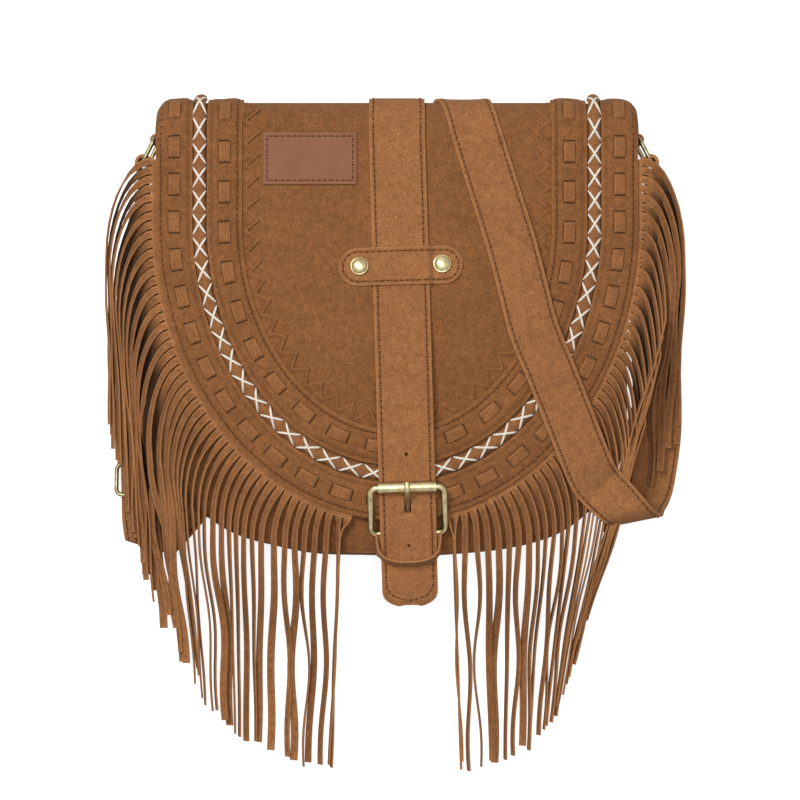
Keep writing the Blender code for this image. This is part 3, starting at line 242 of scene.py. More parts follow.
def flap_point(x, v, h):
    """The point at x, v on the unrolled flap, h above its inner face."""
    turned = clamp((abs(x) - FLAP_HALF_WIDTH + CORNER_WIDTH) / CORNER_WIDTH)
    corner = CORNER_DROP * (1 - math.sqrt(1 - turned * turned))
    drop = corner * smooth((v - FOLD_Y + 2 * CORNER_WIDTH) / (2 * CORNER_WIDTH))
    h += puckers(x, v)
    if v <= FOLD_Y:
        return Vector((x, v - drop, rise(x, v) + h))
    angle = (v - FOLD_Y) / FOLD_RADIUS
    out = FOLD_RADIUS + h
    if angle <= math.pi:
        return Vector((x, FOLD_Y + out * math.sin(angle) - drop, FOLD_Z + out * math.cos(angle)))
    return Vector((x, FOLD_Y - (v - ROOT_V) - drop, FOLD_Z - out))


def flap_bottom(x):
    return FLAP_CURVE_Y - FLAP_CURVE_DROP * math.sqrt(max(0.0, 1 - (x / FLAP_HALF_WIDTH) ** 2))


def body_bottom(x):
    part = max(0.0, 1 - abs(x / BODY_HALF_WIDTH) ** BODY_ROUNDNESS)
    return BODY_CURVE_Y - BODY_DROP * part ** (1 / BODY_ROUNDNESS)


class Round:
    """A line round the flap at one inset from its seam, from the top left down and up to the top right."""

    def __init__(self, inset, top, settle=0.0):
        self.settle = settle
        half, drop = FLAP_HALF_WIDTH - inset, FLAP_CURVE_DROP - INSET_GROWTH * inset
        turn = np.linspace(math.pi, 2 * math.pi, 241)
        side = np.linspace(top, FLAP_CURVE_Y, 41)[:-1]
        self.x = np.concatenate([np.full(40, -half), half * np.cos(turn), np.full(40, half)])
        self.v = np.concatenate([side, FLAP_CURVE_Y + drop * np.sin(turn), side[::-1]])
        step = np.hypot(np.diff(self.x), np.diff(self.v))
        self.along = np.concatenate([[0.0], np.cumsum(step)])
        self.length = float(self.along[-1])

    def at(self, along):
        return float(np.interp(along, self.along, self.x)), float(np.interp(along, self.along, self.v))

    def out(self, along):
        x0, v0 = self.at(along - 0.0005)
        x1, v1 = self.at(along + 0.0005)
        return Vector((v1 - v0, x0 - x1)).normalized()

    def place(self, along, across, h):
        x, v = self.at(along)
        out = self.out(along)
        h -= self.settle * smooth((v - FOLD_Y) / 0.012)
        return flap_point(x + across * out.x, v + across * out.y, h)


def strap_xy(v, u):
    cos, sin = math.cos(STRAP_TILT), math.sin(STRAP_TILT)
    return STRAP_TOP[0] + v * cos + u * sin, STRAP_TOP[1] - u * cos + v * sin


def strap_z(u):
    """Height of the closing strap's underside, its bends eased."""
    x, y = strap_xy(0, u)
    near = sum(knots(STRAP_BED, u + step) for step in (-0.004, -0.002, 0, 0.002, 0.004)) / 5
    return rise(x, y) + near


def strap_point(v, u, above=0.0):
    x, y = strap_xy(v, u)
    return Vector((x, y, strap_z(u) + above))


def bed_z(u):
    """Height of the closing strap's underside as the CAD part has it."""
    x, y = strap_xy(0, u)
    return rise(x, y) + knots(STRAP_BED, u)


def tilted(v, u, z):
    x, y = strap_xy(v, u)
    return Vector((x, y, z))


BAR_Z = bed_z(BAR_U) - GAP - 2 * PRONG_RADIUS - GAP - WIRE / 2 - 0.0001
ROLLER_Z = bed_z(ROLLER_U) + STRAP_THICK + GAP + ROLLER_RADIUS


def through(stations, steps):
    """Stations read from a smooth curve through the given ones."""
    flat = [np.array([*p, *a]) for p, a in stations]
    flat = [2 * flat[0] - flat[1], *flat, 2 * flat[-1] - flat[-2]]
    found = []
    for i in range(1, len(flat) - 2):
        a, b, c, d = flat[i - 1 : i + 3]
        for k in range(steps):
            t = k / steps
            bow, twist = 2 * a - 5 * b + 4 * c - d, 3 * b - a - 3 * c + d
            q = 0.5 * (2 * b + (c - a) * t + bow * t**2 + twist * t**3)
            found.append((Vector(q[:3]), Vector(q[3:])))
    found.append((Vector(flat[-2][:3]), Vector(flat[-2][3:])))
    return found


def curve_through(points, steps):
    return [p for p, _ in through([(Vector(p), Vector((1, 0, 0))) for p in points], steps)]


# Materials

class Tree:
    """The nodes of one material, or of the world. Each method adds a node and gives its output."""

    def __init__(self, owner):
        owner.use_nodes = True
        self.owner, self.nodes, self.links = owner, owner.node_tree.nodes, owner.node_tree.links
        self.coords = None

    def feed(self, node, inputs):
        """Sets each input of a node, or links it where the value is another node's output."""
        for key, value in inputs:
            if isinstance(value, bpy.types.NodeSocket):
                self.links.new(value, node.inputs[key])
            else:
                node.inputs[key].default_value = value

    def add(self, kind, output, *inputs, **settings):
        made = self.nodes.new("ShaderNode" + kind)
        for key, value in settings.items():
            setattr(made, key, value)
        self.feed(made, inputs)
        return made.outputs[output]

    def place(self):
        """The piece's own coordinates."""
        if self.coords is None:
            self.coords = self.add("TexCoord", "Object")
        return self.coords

    def noise(self, scale, detail=3.0, distortion=0.0):
        return self.add("TexNoise", "Fac", ("Vector", self.place()), ("Scale", scale), ("Detail", detail),
                        ("Distortion", distortion))

    def attribute(self, name):
        return self.add("Attribute", "Fac", attribute_name=name)

    def ramp(self, source, low, high, dark, light):
        return self.add("MapRange", "Result", ("Value", source), ("From Min", low), ("From Max", high),
                        ("To Min", dark), ("To Max", light))

    def math(self, operation, a, b=0.0):
        return self.add("Math", "Value", (0, a), (1, b), operation=operation)

    def mix(self, factor, a, b, **settings):
        return self.add("Mix", 2, ("Factor", factor), (6, a), (7, b), data_type="RGBA", **settings)

    def bump(self, height, strength, distance, *before):
        inputs = [("Height", height), ("Strength", strength), ("Distance", distance)]
        return self.add("Bump", "Normal", *inputs, *[("Normal", normal) for normal in before])

    def surface(self, **inputs):
        """The material's own shader, its inputs named with _ for each space."""
        named = [(key.replace("_", " "), value) for key, value in inputs.items()]
        self.feed(self.nodes["Principled BSDF"], named)
        return self.owner

    def seen_directly(self):
        """One for what the camera sees, by itself or in gloss or through glass."""
        path = self.nodes.new("ShaderNodeLightPath").outputs
        first = self.math("MAXIMUM", path["Is Camera Ray"], path["Is Glossy Ray"])
        return self.math("MAXIMUM", first, path["Is Transmission Ray"])


def new_material(name):
    return Tree(bpy.data.materials.new(name))


def tone(colour, red, green, blue):
    """The colour, its parts taken up or down by so much."""
    return tuple(min(1.0, part * by) for part, by in zip(colour, (red, green, blue))) + (1.0,)


def suede_material(name, colour, contrast=1.0, seam=NO_SEAM, sheen=0.12):
    """Napped suede: brushed patches, mottling, short fibres, a pressed line at its seam, a paler cut edge
    that is partly wear and partly painted highlight, and painted shade towards black where the piece says it
    lies deep."""
    made = new_material(name)
    mottle, nap, edge = made.noise(250, 5, 0.3), made.noise(1150, 4, 0.2), made.attribute("edge")
    brushed = made.ramp(made.noise(26, 3, 0.6), 0.32, 0.70, 1 - 0.10 * contrast, 1 + 0.09 * contrast)
    mottled = made.ramp(mottle, 0.30, 0.70, 1 - 0.19 * contrast, 1 + 0.19 * contrast)
    fibres = made.ramp(nap, 0.28, 0.72, 0.64, 1.36)
    away = made.math("ABSOLUTE", made.math("SUBTRACT", edge, seam))
    pressed = made.ramp(away, 0.0002, 0.0011, 0.80, 1.0)
    shade = made.math("MULTIPLY", made.math("MULTIPLY", brushed, mottled), fibres)
    body = made.mix(made.math("MULTIPLY", shade, pressed), BLACK, (*colour, 1), clamp_factor=False)
    # Paler towards the cut edge: partly the edge's real wear, partly a painted highlight where the edge catches
    # the light.
    wear_and_painted_highlight = made.ramp(edge, 0.0002, 0.0013, 0.42, 0.0)
    coloured = made.mix(wear_and_painted_highlight, body, tone(colour, 1.65, 1.75, 1.8))
    # Painted shade: the colour is darkened towards black by the piece's painted shade attribute, which is set
    # on fringe strips lying deep between the others.
    kept_after_painted_shade = made.math("SUBTRACT", 1.0, made.attribute("painted_shade"))
    soft = made.bump(mottle, 0.22, 0.0012, made.bump(pressed, 0.55, 0.0006))
    return made.surface(Base_Color=made.mix(kept_after_painted_shade, BLACK, coloured), Normal=made.bump(nap, 0.34, 0.0006, soft),
                        Roughness=0.93, Specular_IOR_Level=0.14, Sheen_Weight=sheen, Sheen_Roughness=0.55,
                        Sheen_Tint=(1.0, 0.72, 0.50, 1))


def clouded(made, colour, scale, low, detail=3):
    """A colour that shades to a darker one in clouds, and the clouds."""
    cloud = made.noise(scale, detail)
    return made.mix(made.ramp(cloud, 0.3, 0.7, 0.0, 1.0), tone(colour, *low), (*colour, 1)), cloud


def edge_material():
    """The pale, fibrous cut side of suede, partly its real paler fibres and partly a painted highlight where
    the cut edges catch the light.
    """
    made = new_material("cut_edge")
    coloured, fibre = clouded(made, colours().edge, 900, (0.72, 0.68, 0.64))
    return made.surface(Base_Color=coloured, Normal=made.bump(fibre, 0.3, 0.0005), Roughness=0.85,
                        Specular_IOR_Level=0.2)


def leather_material():
    """The patch's smooth leather: fine pores and a soft gloss."""
    made = new_material("smooth_leather")
    coloured, _ = clouded(made, colours().patch, 70, (0.86, 0.84, 0.84))
    pores = made.add("TexVoronoi", "Distance", ("Vector", made.place()), ("Scale", 1300))
    return made.surface(Base_Color=coloured, Normal=made.bump(pores, 0.16, 0.0003), Roughness=0.62,
                        Specular_IOR_Level=0.28)


def cord_material(name, colour, scale):
    """Waxed cord or thread: fine ridges across a slightly glossy strand."""
    made = new_material(name)
    coloured, strands = clouded(made, colour, scale, (0.80, 0.77, 0.72), 2)
    return made.surface(Base_Color=coloured, Normal=made.bump(strands, 0.35, 0.0003), Roughness=0.75,
                        Specular_IOR_Level=0.15)


def hole_material():
    made = new_material("needle_hole")
    # Near-black and mottled: painted shade standing for the inside of each needle hole.
    painted_hole_shade = made.mix(made.noise(600, 2), (0.030, 0.012, 0.005, 1), (0.060, 0.024, 0.010, 1))
    return made.surface(Base_Color=painted_hole_shade, Roughness=1.0)


def brass_material(name, share):
    """Aged brass: brushed, with browner patches and small dents."""
    made = new_material(name)
    colour = tuple(c * share for c in colours().brass)
    age = made.noise(240, 4, 0.4)
    coloured = made.mix(made.ramp(age, 0.35, 0.68, 0.0, 1.0), tone(colour, 0.62, 0.58, 0.50), (*colour, 1))
    return made.surface(Base_Color=coloured, Roughness=made.ramp(age, 0.3, 0.7, 0.44, 0.28),
                        Normal=made.bump(made.noise(1500, 2), 0.10, 0.0002), Metallic=1.0)


LOOKS = {}


def looks(name):
    """The finish of that name, made when it is first asked for."""
    if name in LOOKS:
        return LOOKS[name]
    tan, centre, band = tuple(colours().suede), tuple(colours().centre), tuple(colours().band)
    makers = {
        "suede": lambda: suede_material("suede", band, seam=SEAM_IN),
        "lace": lambda: suede_material("lace_suede", tuple((a + b) / 2 for a, b in zip(tan, band)), 0.7),
        "strip": lambda: suede_material("strip_suede", tuple(c * 0.92 for c in tan), 1.2, sheen=0.08),
        "strap": lambda: suede_material("strap_suede", tan, 0.8, STRAP_SEAM_IN),
        "dark": lambda: suede_material("dark_suede", centre, 0.9),
        # The front panel and the wall: the centre suede taken down to 0.85 as painted shade for the shade
        # beneath the flap.
        "body": lambda: suede_material("body_suede_painted_shade", tuple(c * 0.85 for c in centre), 1.1),
        "edge": edge_material,
        "leather": leather_material,
        "cord": lambda: cord_material("white_cord", colours().cord, 1700),
        "thread": lambda: cord_material("thread", colours().thread, 2200),
        "hole": hole_material,
        "brass": lambda: brass_material("antique_brass", 1.0),
        "old_brass": lambda: brass_material("dark_brass", 0.5),
    }
    LOOKS[name] = makers[name]()
    return LOOKS[name]


# Mesh tools

def only(made):
    """Makes this object the only one selected, and the active one."""
    bpy.ops.object.select_all(action="DESELECT")
    made.select_set(True)
    bpy.context.view_layer.objects.active = made


def apply_all(made):
    only(made)
    for modifier in list(made.modifiers):
        bpy.ops.object.modifier_apply(modifier=modifier.name)


def edge_distance(points, ends=True):
    """Each point's distance from the nearest cut edge, for the finishes to read."""
    steps = np.linalg.norm(np.diff(points, axis=1), axis=2)
    across = np.concatenate([np.zeros((len(points), 1)), np.cumsum(steps, axis=1)], axis=1)
    nearest = np.minimum(across, across[:, -1:] - across)
    if ends:
        steps = np.linalg.norm(np.diff(points, axis=0), axis=2)
        along = np.concatenate([np.zeros((1, points.shape[1])), np.cumsum(steps, axis=0)], axis=0)
        nearest = np.minimum(nearest, np.minimum(along, along[-1:] - along))
    return nearest


def grid(name, rows, columns, place, ends=True, holes=()):
    """A grid laid out corner by corner at place(row, column), without the cells in holes."""
    bpy.ops.mesh.primitive_grid_add(x_subdivisions=rows, y_subdivisions=columns, size=1)
    made = bpy.context.object
    made.name = made.data.name = name
    cells = [(round((v.co.x + 0.5) * rows), round((v.co.y + 0.5) * columns)) for v in made.data.vertices]
    middles = [face.center.copy() for face in made.data.polygons]
    points = np.zeros((rows + 1, columns + 1, 3))
    for row in range(rows + 1):
        for column in range(columns + 1):
            points[row, column] = place(row, column)
    nearest = edge_distance(points, ends)
    edge = made.data.attributes.new("edge", "FLOAT", "POINT")
    for vertex, (row, column) in zip(made.data.vertices, cells):
        vertex.co = points[row, column]
        edge.data[vertex.index].value = nearest[row, column]
    if holes:
        only(made)
        bpy.ops.object.mode_set(mode="EDIT")
        bpy.ops.mesh.select_mode(type="FACE")
        bpy.ops.mesh.select_all(action="DESELECT")
        bpy.ops.object.mode_set(mode="OBJECT")
        for face, middle in zip(made.data.polygons, middles):
            spot = (int((middle.x + 0.5) * rows), int((middle.y + 0.5) * columns))
            face.select = spot in holes
        bpy.ops.object.mode_set(mode="EDIT")
        bpy.ops.mesh.delete(type="FACE")
        bpy.ops.object.mode_set(mode="OBJECT")
    for layer in list(made.data.uv_layers):
        made.data.uv_layers.remove(layer)
    return made


def thicken(made, thickness, bevel=0.00025):
    """Walls on both sides of the sheet, its cut sides in the edge finish, its corners eased."""
    wall = made.modifiers.new("thickness", "SOLIDIFY")
    wall.thickness = thickness
    wall.offset = 0
    wall.material_offset_rim = 1
    if bevel:
        eased = made.modifiers.new("eased", "BEVEL")
        eased.width = bevel
        eased.segments = 2
        eased.limit_method = "ANGLE"
        eased.angle_limit = math.radians(50)
    apply_all(made)
    return made


def coat(made, *finishes):
    made.data.materials.clear()
    for finish in finishes:
        made.data.materials.append(looks(finish))


def dress(made, finish, body="bag", stands_for=(), slot=None, angle=50, rim=True):
    """Gives a finished piece its finish and its body, and hides the CAD nodes that it stands for."""
    coat(made, *((finish, "edge") if rim else (finish,)))
    only(made)
    bpy.ops.object.shade_smooth_by_angle(angle=math.radians(angle))
    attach(made, body)
    if stands_for:
        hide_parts(*stands_for)
    return made


def sheet(name, rows, columns, place, thickness, finish, node, slot="suede", ends=True, holes=()):
    """A thick suede sheet on the bag, standing for its CAD node."""
    made = grid(name, rows, columns, place, ends, holes)
    coat(made, finish, "edge")
    thicken(made, thickness)
    return dress(made, finish, "bag", (node,), slot)


def ribbon(name, stations, width, thickness, finish, node, columns=6, crown=0.0):
    """A strap along stations, each a middle point and the direction across it."""
    last = len(stations) - 1

    def place(row, column):
        middle, across = stations[row]
        across = across.normalized()
        part = column / columns - 0.5
        if crown:
            ahead = stations[min(row + 1, last)][0] - stations[max(row - 1, 0)][0]
            up = across.cross(ahead).normalized()
            middle = middle + up * crown * (0.5 - abs(part)) * 2
        return middle + across * width * part

    return sheet(name, last, columns, place, thickness, finish, node)


def wire(name, points, radius, node, body="bag", closed=False, resolution=5, finish="brass"):
    """A bent brass wire."""
    curve = bpy.data.curves.new(name, "CURVE")
    curve.dimensions = "3D"
    curve.bevel_depth = radius
    curve.bevel_resolution = resolution
    curve.use_fill_caps = not closed
    line = curve.splines.new("POLY")
    line.points.add(len(points) - 1)
    for point, place in zip(line.points, points):
        point.co = (*place, 1)
    line.use_cyclic_u = closed
    made = bpy.data.objects.new(name, curve)
    bpy.context.scene.collection.objects.link(made)
    only(made)
    bpy.ops.object.convert(target="MESH")
    made = bpy.context.object
    return dress(made, finish, body, (node,), "antique_brass", 60, rim=False)


def turned(name, profile, matrix, node, body="bag", steps=40):
    """A profile of radius and height, turned about the Z axis and put in place by the matrix."""
    mesh = bpy.data.meshes.new(name)
    mesh.from_pydata([(r, 0, z) for r, z in profile], [(i, i + 1) for i in range(len(profile) - 1)], [])
    made = bpy.data.objects.new(name, mesh)
    bpy.context.scene.collection.objects.link(made)
    spun = made.modifiers.new("spun", "SCREW")
    spun.steps = spun.render_steps = steps
    spun.use_merge_vertices = True
    spun.merge_threshold = 0.00001
    apply_all(made)
    recalculate(made)
    made.data.transform(matrix)
    return dress(made, "brass", body, (node,), "antique_brass", 35, rim=False)


def recalculate(made):
    only(made)
    bpy.ops.object.mode_set(mode="EDIT")
    bpy.ops.mesh.select_all(action="SELECT")
    bpy.ops.mesh.normals_make_consistent(inside=False)
    bpy.ops.object.mode_set(mode="OBJECT")


def close_tube(made):
    """Joins the grid's two long sides to a tube and closes its ends."""
    for item in made.data.attributes["edge"].data:
        item.value = 0.1
    only(made)
    bpy.ops.object.mode_set(mode="EDIT")
    bpy.ops.mesh.select_all(action="SELECT")
    bpy.ops.mesh.remove_doubles(threshold=0.000001)
    bpy.ops.mesh.select_all(action="SELECT")
    bpy.ops.mesh.fill_holes(sides=0)
    bpy.ops.object.mode_set(mode="OBJECT")
    recalculate(made)


def join(name, parts):
    bpy.ops.object.select_all(action="DESELECT")
    for part in parts:
        part.select_set(True)
    bpy.context.view_layer.objects.active = parts[0]
    bpy.ops.object.join()
    made = bpy.context.object
    made.name = made.data.name = name
    return made


def pattern_ball(size):
    """Corners and faces of one small ball, stretched to size."""
    bpy.ops.mesh.primitive_uv_sphere_add(segments=8, ring_count=5, radius=0.5)
    made = bpy.context.object
    corners = np.array([v.co for v in made.data.vertices]) * np.array(size)
    faces = [tuple(face.vertices) for face in made.data.polygons]
    bpy.data.objects.remove(made)
    return corners, faces


def sewn(name, runs):
    """Stitches along runs of spots: a thread over each step, and between steps a dark dot of painted shade for
    the needle hole.
    Each run is a function of distance and height, with its start and end."""
    pitch, width = sizes().stitch_pitch, sizes().stitch_width
    thread = pattern_ball((pitch * 0.56, width, width * 0.5))
    needle = pattern_ball((0.0009, 0.0009, 0.00022))
    corners, faces, finish = [], [], []
    for spot, start, stop in runs:
        count = max(1, round((stop - start) / pitch))
        step = (stop - start) / count
        for i in range(2 * count + 1):
            along = start + step * i / 2
            here, ahead = spot(along, 0.0), spot(along + 0.0006, 0.0) - spot(along - 0.0006, 0.0)
            up = (spot(along, 0.001) - here).normalized()
            if here.z < 0.0004:
                continue
            ahead = (ahead - up * ahead.dot(up)).normalized()
            side = up.cross(ahead)
            shape, cells = thread if i % 2 else needle
            lift = 0.00006 if i % 2 else 0.00002
            first = len(corners)
            for corner in shape:
                corners.append(here + ahead * corner[0] + side * corner[1] + up * (corner[2] + lift))
            faces += [tuple(first + k for k in cell) for cell in cells]
            finish += [0 if i % 2 else 1] * len(cells)
    mesh = bpy.data.meshes.new(name)
    mesh.from_pydata(corners, [], faces)
    mesh.materials.append(looks("thread"))
    mesh.materials.append(looks("hole"))
    mesh.polygons.foreach_set("material_index", finish)
    made = bpy.data.objects.new(name, mesh)
    bpy.context.scene.collection.objects.link(made)
    only(made)
    bpy.ops.object.shade_smooth()
    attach(made, "bag")
    return made


def stop_columns(width, inner):
    """Places across a band: its edges, its seams, the sides of its slots and points between."""
    half = width / 2
    near = [inner, inner + 0.0009, half - 0.0045, half - SEAM_IN, half - 0.0017, half - 0.0006, half]
    return [-n for n in reversed(near)] + [-0.0017, 0.0017] + near


# Body

def groove_middle(y):
    return knots(((-0.16, -0.170), (-0.10, -0.126), (0.0, -0.052), (0.06, -0.012), (0.12, 0.017)), y)


def back_rise(x, y):
    off = abs(x - groove_middle(y)) * 0.8
    groove = 1 - smooth((off - GROOVE_FLAT) / (GROOVE_EDGE - GROOVE_FLAT))
    return BACK_LIFT * max(groove, smooth((y - 0.070) / 0.035))


def panel_place(top, rows, columns, height, roll):
    """Corners of a body panel, its rim rolled over by so much."""

    def place(row, column):
        x = BODY_HALF_WIDTH * math.sin(math.pi * (column / columns - 0.5))
        y = top + (body_bottom(x) - top) * row / rows
        rim = min(BODY_HALF_WIDTH - abs(x), max(0.0, y - body_bottom(x)))
        return Vector((x, y, height(x, y) + roll * (1 - smooth(rim / 0.006))))

    return place


def build_body():
    half = PANEL / 2

    def back(x, y):
        return back_rise(x, y) + half + 0.0002 * (1 + noise.noise(Vector((x * 40, y * 40, 5))))

    def front(x, y):
        sag = 0.0010 * (1 + noise.noise(Vector((x * 30, y * 30, 9))))
        return rise(x, y) - FLAP_CLEAR - half - sag

    for name, rows, top, height, roll, finish, slot in (
            ("back", 60, FOLD_Y + 0.002, back, 0.0008, "dark", "suede"),
            ("front", 54, BODY_TOP_Y, front, -0.0012, "body", "dark_suede")):
        place = panel_place(top, rows, 48, height, roll)
        sheet(name, rows, 48, place, PANEL, finish, name + "_panel", slot)

    inside = BODY_HALF_WIDTH - half
    side = [(-inside, y) for y in np.linspace(GUSSET_TOP_Y, BODY_CURVE_Y, 24)]
    outline = list(side)
    for i in range(1, 96):
        turn = math.pi * (i / 96 - 0.5)
        outline.append((inside * math.copysign(abs(math.sin(turn)) ** (2 / BODY_ROUNDNESS), turn),
                        BODY_CURVE_Y - (BODY_DROP - half) * math.cos(turn) ** (2 / BODY_ROUNDNESS)))
    outline += [(-x, y) for x, y in side[::-1]]
    columns = 8

    def wall(row, column):
        x, y = outline[row]
        low = max(back_rise(x, y), back_rise(x * 0.97, y * 0.97)) + PANEL + LAYER_GAP + GAP
        low += (FOLD_BACK + 0.0020 - low) * smooth((y - 0.085) / 0.020)
        high = rise(x, y) - FLAP_CLEAR - PANEL - LAYER_GAP - 0.0012
        part = column / columns
        swell = 0.0022 * math.sin(math.pi * part) * smooth((0.070 - y) / 0.030)
        swell *= 1 + 0.6 * noise.noise(Vector((x * 30, y * 30, part * 2)))
        grown = 1 + swell / BODY_HALF_WIDTH
        return Vector((x * grown, y * grown, low + (high - low) * part))

    sheet("gusset_wall", len(outline) - 1, columns, wall, PANEL, "body", "gusset", "dark_suede")


# Flap

def build_flap():
    fold_rows, front_rows, columns = 26, 74, 76
    root = ROOT_V + ROOT_LENGTH
    levels = [root, root - ROOT_LENGTH / 2, *np.linspace(ROOT_V, FOLD_Y, fold_rows)]
    first = len(levels) - 1

    def place(row, column):
        x = FLAP_HALF_WIDTH * math.sin(math.pi * (column / columns - 0.5))
        if row <= first:
            return flap_point(x, levels[row], PANEL / 2)
        part = (row - first) / front_rows
        return flap_point(x, FOLD_Y + (flap_bottom(x) - FOLD_Y) * part, PANEL / 2)

    sheet("flap", first + front_rows, columns, place, PANEL, "dark", "flap_panel", "dark_suede")

    line = Round(OVERLAY_INSET, FOLD_Y + 1.1 * FOLD_RADIUS)
    teeth = round(line.length / OVERLAY_PITCH * 0.93)

    between = (OVERLAY_TIP + OVERLAY_VALLEY) / 2
    reach = (OVERLAY_VALLEY, between, OVERLAY_TIP, between)

    def pinked(row, column):
        across = -(reach[row % 4] - OVERLAY_INSET) * column / 3
        curl = 0.0004 * (column / 3) ** 2 * (1 if row % 4 == 2 else 0.3)
        return line.place(line.length * row / (4 * teeth), across, LAYER_2 + SKIN / 2 + curl)

    sheet("zigzag_edge", 4 * teeth, 3, pinked, SKIN, "suede", "pinked_overlay")


def band_stops(line, band):
    """Places along a band, with its slots' ends among them, and the slots."""
    pitch = line.length / (band["laces"] + 0.5)
    stops, slots, middles = [0.0], [], []
    for i in range(band["laces"]):
        middle = pitch * (i + 0.75)
        middles.append(middle)
        for end in (-1, 1):
            edge = middle + end * (LACE_OVER / 2 + 0.0006)
            slots.append((edge - 0.0009, edge + 0.0009))
            stops += slots[-1]
    stops.append(line.length)
    full = [stops[0]]
    for a, b in zip(stops, stops[1:]):
        full += list(np.linspace(a, b, max(1, math.ceil((b - a) / 0.0022)) + 1)[1:])
    return full, slots, middles


def build_band(name, band):
    """A band with its slots, the lace woven through them, and its seam."""
    line = Round(band["inset"], FOLD_Y + BAND_ANGLE * FOLD_RADIUS, 0.0015)
    stops, slots, middles = band_stops(line, band)
    inner = LACE_WIDTH / 2 + 0.0003
    across = stop_columns(band["width"], inner)
    low, high = across.index(-inner), across.index(inner)
    holes = set()
    for i, (a, b) in enumerate(zip(stops, stops[1:])):
        if any(start <= (a + b) / 2 <= end for start, end in slots):
            holes |= {(i, column) for column in range(low, high)}
    middles = np.array(middles)

    def puff(along, side):
        """The band swells between its seam and its laces, and is drawn down under each lace."""
        off = float(np.min(np.abs(middles - along)))
        under = (1 - smooth((off - LACE_OVER / 2) / 0.0018)) * (1 - smooth((abs(side) - inner) / 0.0009))
        edge = band["width"] / 2 - abs(side)
        swell = 0.0009 * smooth((edge - 0.0022) / 0.0030) - 0.0002 * (1 - smooth(edge / 0.002))
        return swell * (1 - under) - 0.0003 * under

    def place(row, column):
        along, side = stops[row], across[column]
        return line.place(along, side, LAYER_3 + BAND / 2 + puff(along, side))

    sheet(name + "_suede", len(stops) - 1, len(across) - 1, place, BAND, "suede", name, holes=holes)

    over = BAND_TOP + LACE / 2 + 0.0001
    half = ((1.22, -0.0034), (1.10, -0.0022), (1.03, -0.0006), (0.97, 0.0), (0.86, 0.0002), (0.5, 0.0004))
    profile = [(-share, drop) for share, drop in half] + [(0.0, 0.00045), *half[::-1]]
    turns = []
    for middle in middles:
        turns += [(middle + share * LACE_OVER / 2, over + drop) for share, drop in profile]
    columns = 6

    def woven(row, column):
        along, h = turns[row]
        part = column / columns * 2 - 1
        crown = 0.0004 * (1 - part**4) if h > over - 0.0010 else 0.0
        return line.place(along, part * LACE_WIDTH / 2, h + crown)

    sheet(name + "_woven", len(turns) - 1, columns, woven, LACE, "lace", name + "_lace", ends=False)

    seam = band["seam"]
    side = -seam * (band["width"] / 2 - SEAM_IN)
    top = BAND_TOP + 0.0002
    runs = [(lambda s, h: line.place(s, side, top + h), 0.002, line.length - 0.002)]
    sewn(name + "_stitches", runs)


def build_piping():
    """The stuffed tube between the bands, drawn in under each cross, and the white cord crossed over it."""
    line = Round(PIPING_INSET, FOLD_Y + BAND_ANGLE * FOLD_RADIUS)
    lacing = Round(PIPING_INSET, FOLD_Y + 1.25 * FOLD_RADIUS)
    skip = line.length - lacing.length
    pitch = lacing.length / CROSSES
    middle = PANEL + GAP + PIPING_HEIGHT / 2
    sides, rows = 14, int(line.length / 0.0016)

    def girth(along):
        return 0.97 - 0.10 * math.cos(2 * math.pi * (along - skip / 2) / pitch + math.pi)

    def place(row, column):
        along = line.length * row / rows
        turn = 2 * math.pi * column / sides
        swell = girth(along)
        wide, tall = PIPING_WIDTH / 2 * swell, PIPING_HEIGHT / 2 * swell
        return line.place(along, -wide * math.cos(turn), middle + 0.0003 + tall * math.sin(turn))

    tube = grid("piping_tube", rows, sides, place, ends=False)
    close_tube(tube)
    dress(tube, "lace", "bag", ("piping",), "suede", 80, rim=False)

    radius = sizes().cord_width / 2
    arcs = []
    for i in range(CROSSES):
        for side in (-1, 1):
            arcs.append(cord_arc(lacing, pitch * i, pitch, side, middle, radius))
    cord = join("crossed_cord", arcs)
    dress(cord, "cord", "bag", ("cross_lace",), "white_cord", 80, rim=False)


def cord_arc(line, start, pitch, side, middle, radius):
    """One run of cord from a side of the piping over its crest to the other side."""
    rows, sides = 12, 8
    lift = radius * (0.9 if side < 0 else 1.5)
    path = []
    for row in range(rows + 1):
        t = row / rows
        turn = math.radians(-24 + 228 * t)
        over = math.exp(-((t - 0.5) / 0.16) ** 2)
        wide = PIPING_WIDTH / 2 - radius * 0.45
        tall = PIPING_HEIGHT / 2 + radius * 0.35 + (lift - radius * 0.9) * over
        swell = 1.0 + 0.05 * math.cos(2 * math.pi * t)
        across = -side * wide * swell * math.cos(turn)
        along = start + pitch * (0.02 + 0.96 * (t - 0.07 * math.sin(2 * math.pi * t)))
        path.append(line.place(along, across, middle + 0.0004 + tall * math.sin(turn)))

    def place(row, column):
        ahead = (path[min(row + 1, rows)] - path[max(row - 1, 0)]).normalized()
        across = ahead.cross(Vector((0, 0, 1)))
        across = across.normalized() if across.length > 0.05 else Vector((1, 0, 0))
        up = across.cross(ahead)
        turn = 2 * math.pi * column / sides
        return path[row] + across * radius * math.cos(turn) + up * radius * 0.8 * math.sin(turn)

    made = grid("cord_arc", rows, sides, place, ends=False)
    close_tube(made)
    return made


# Fringe

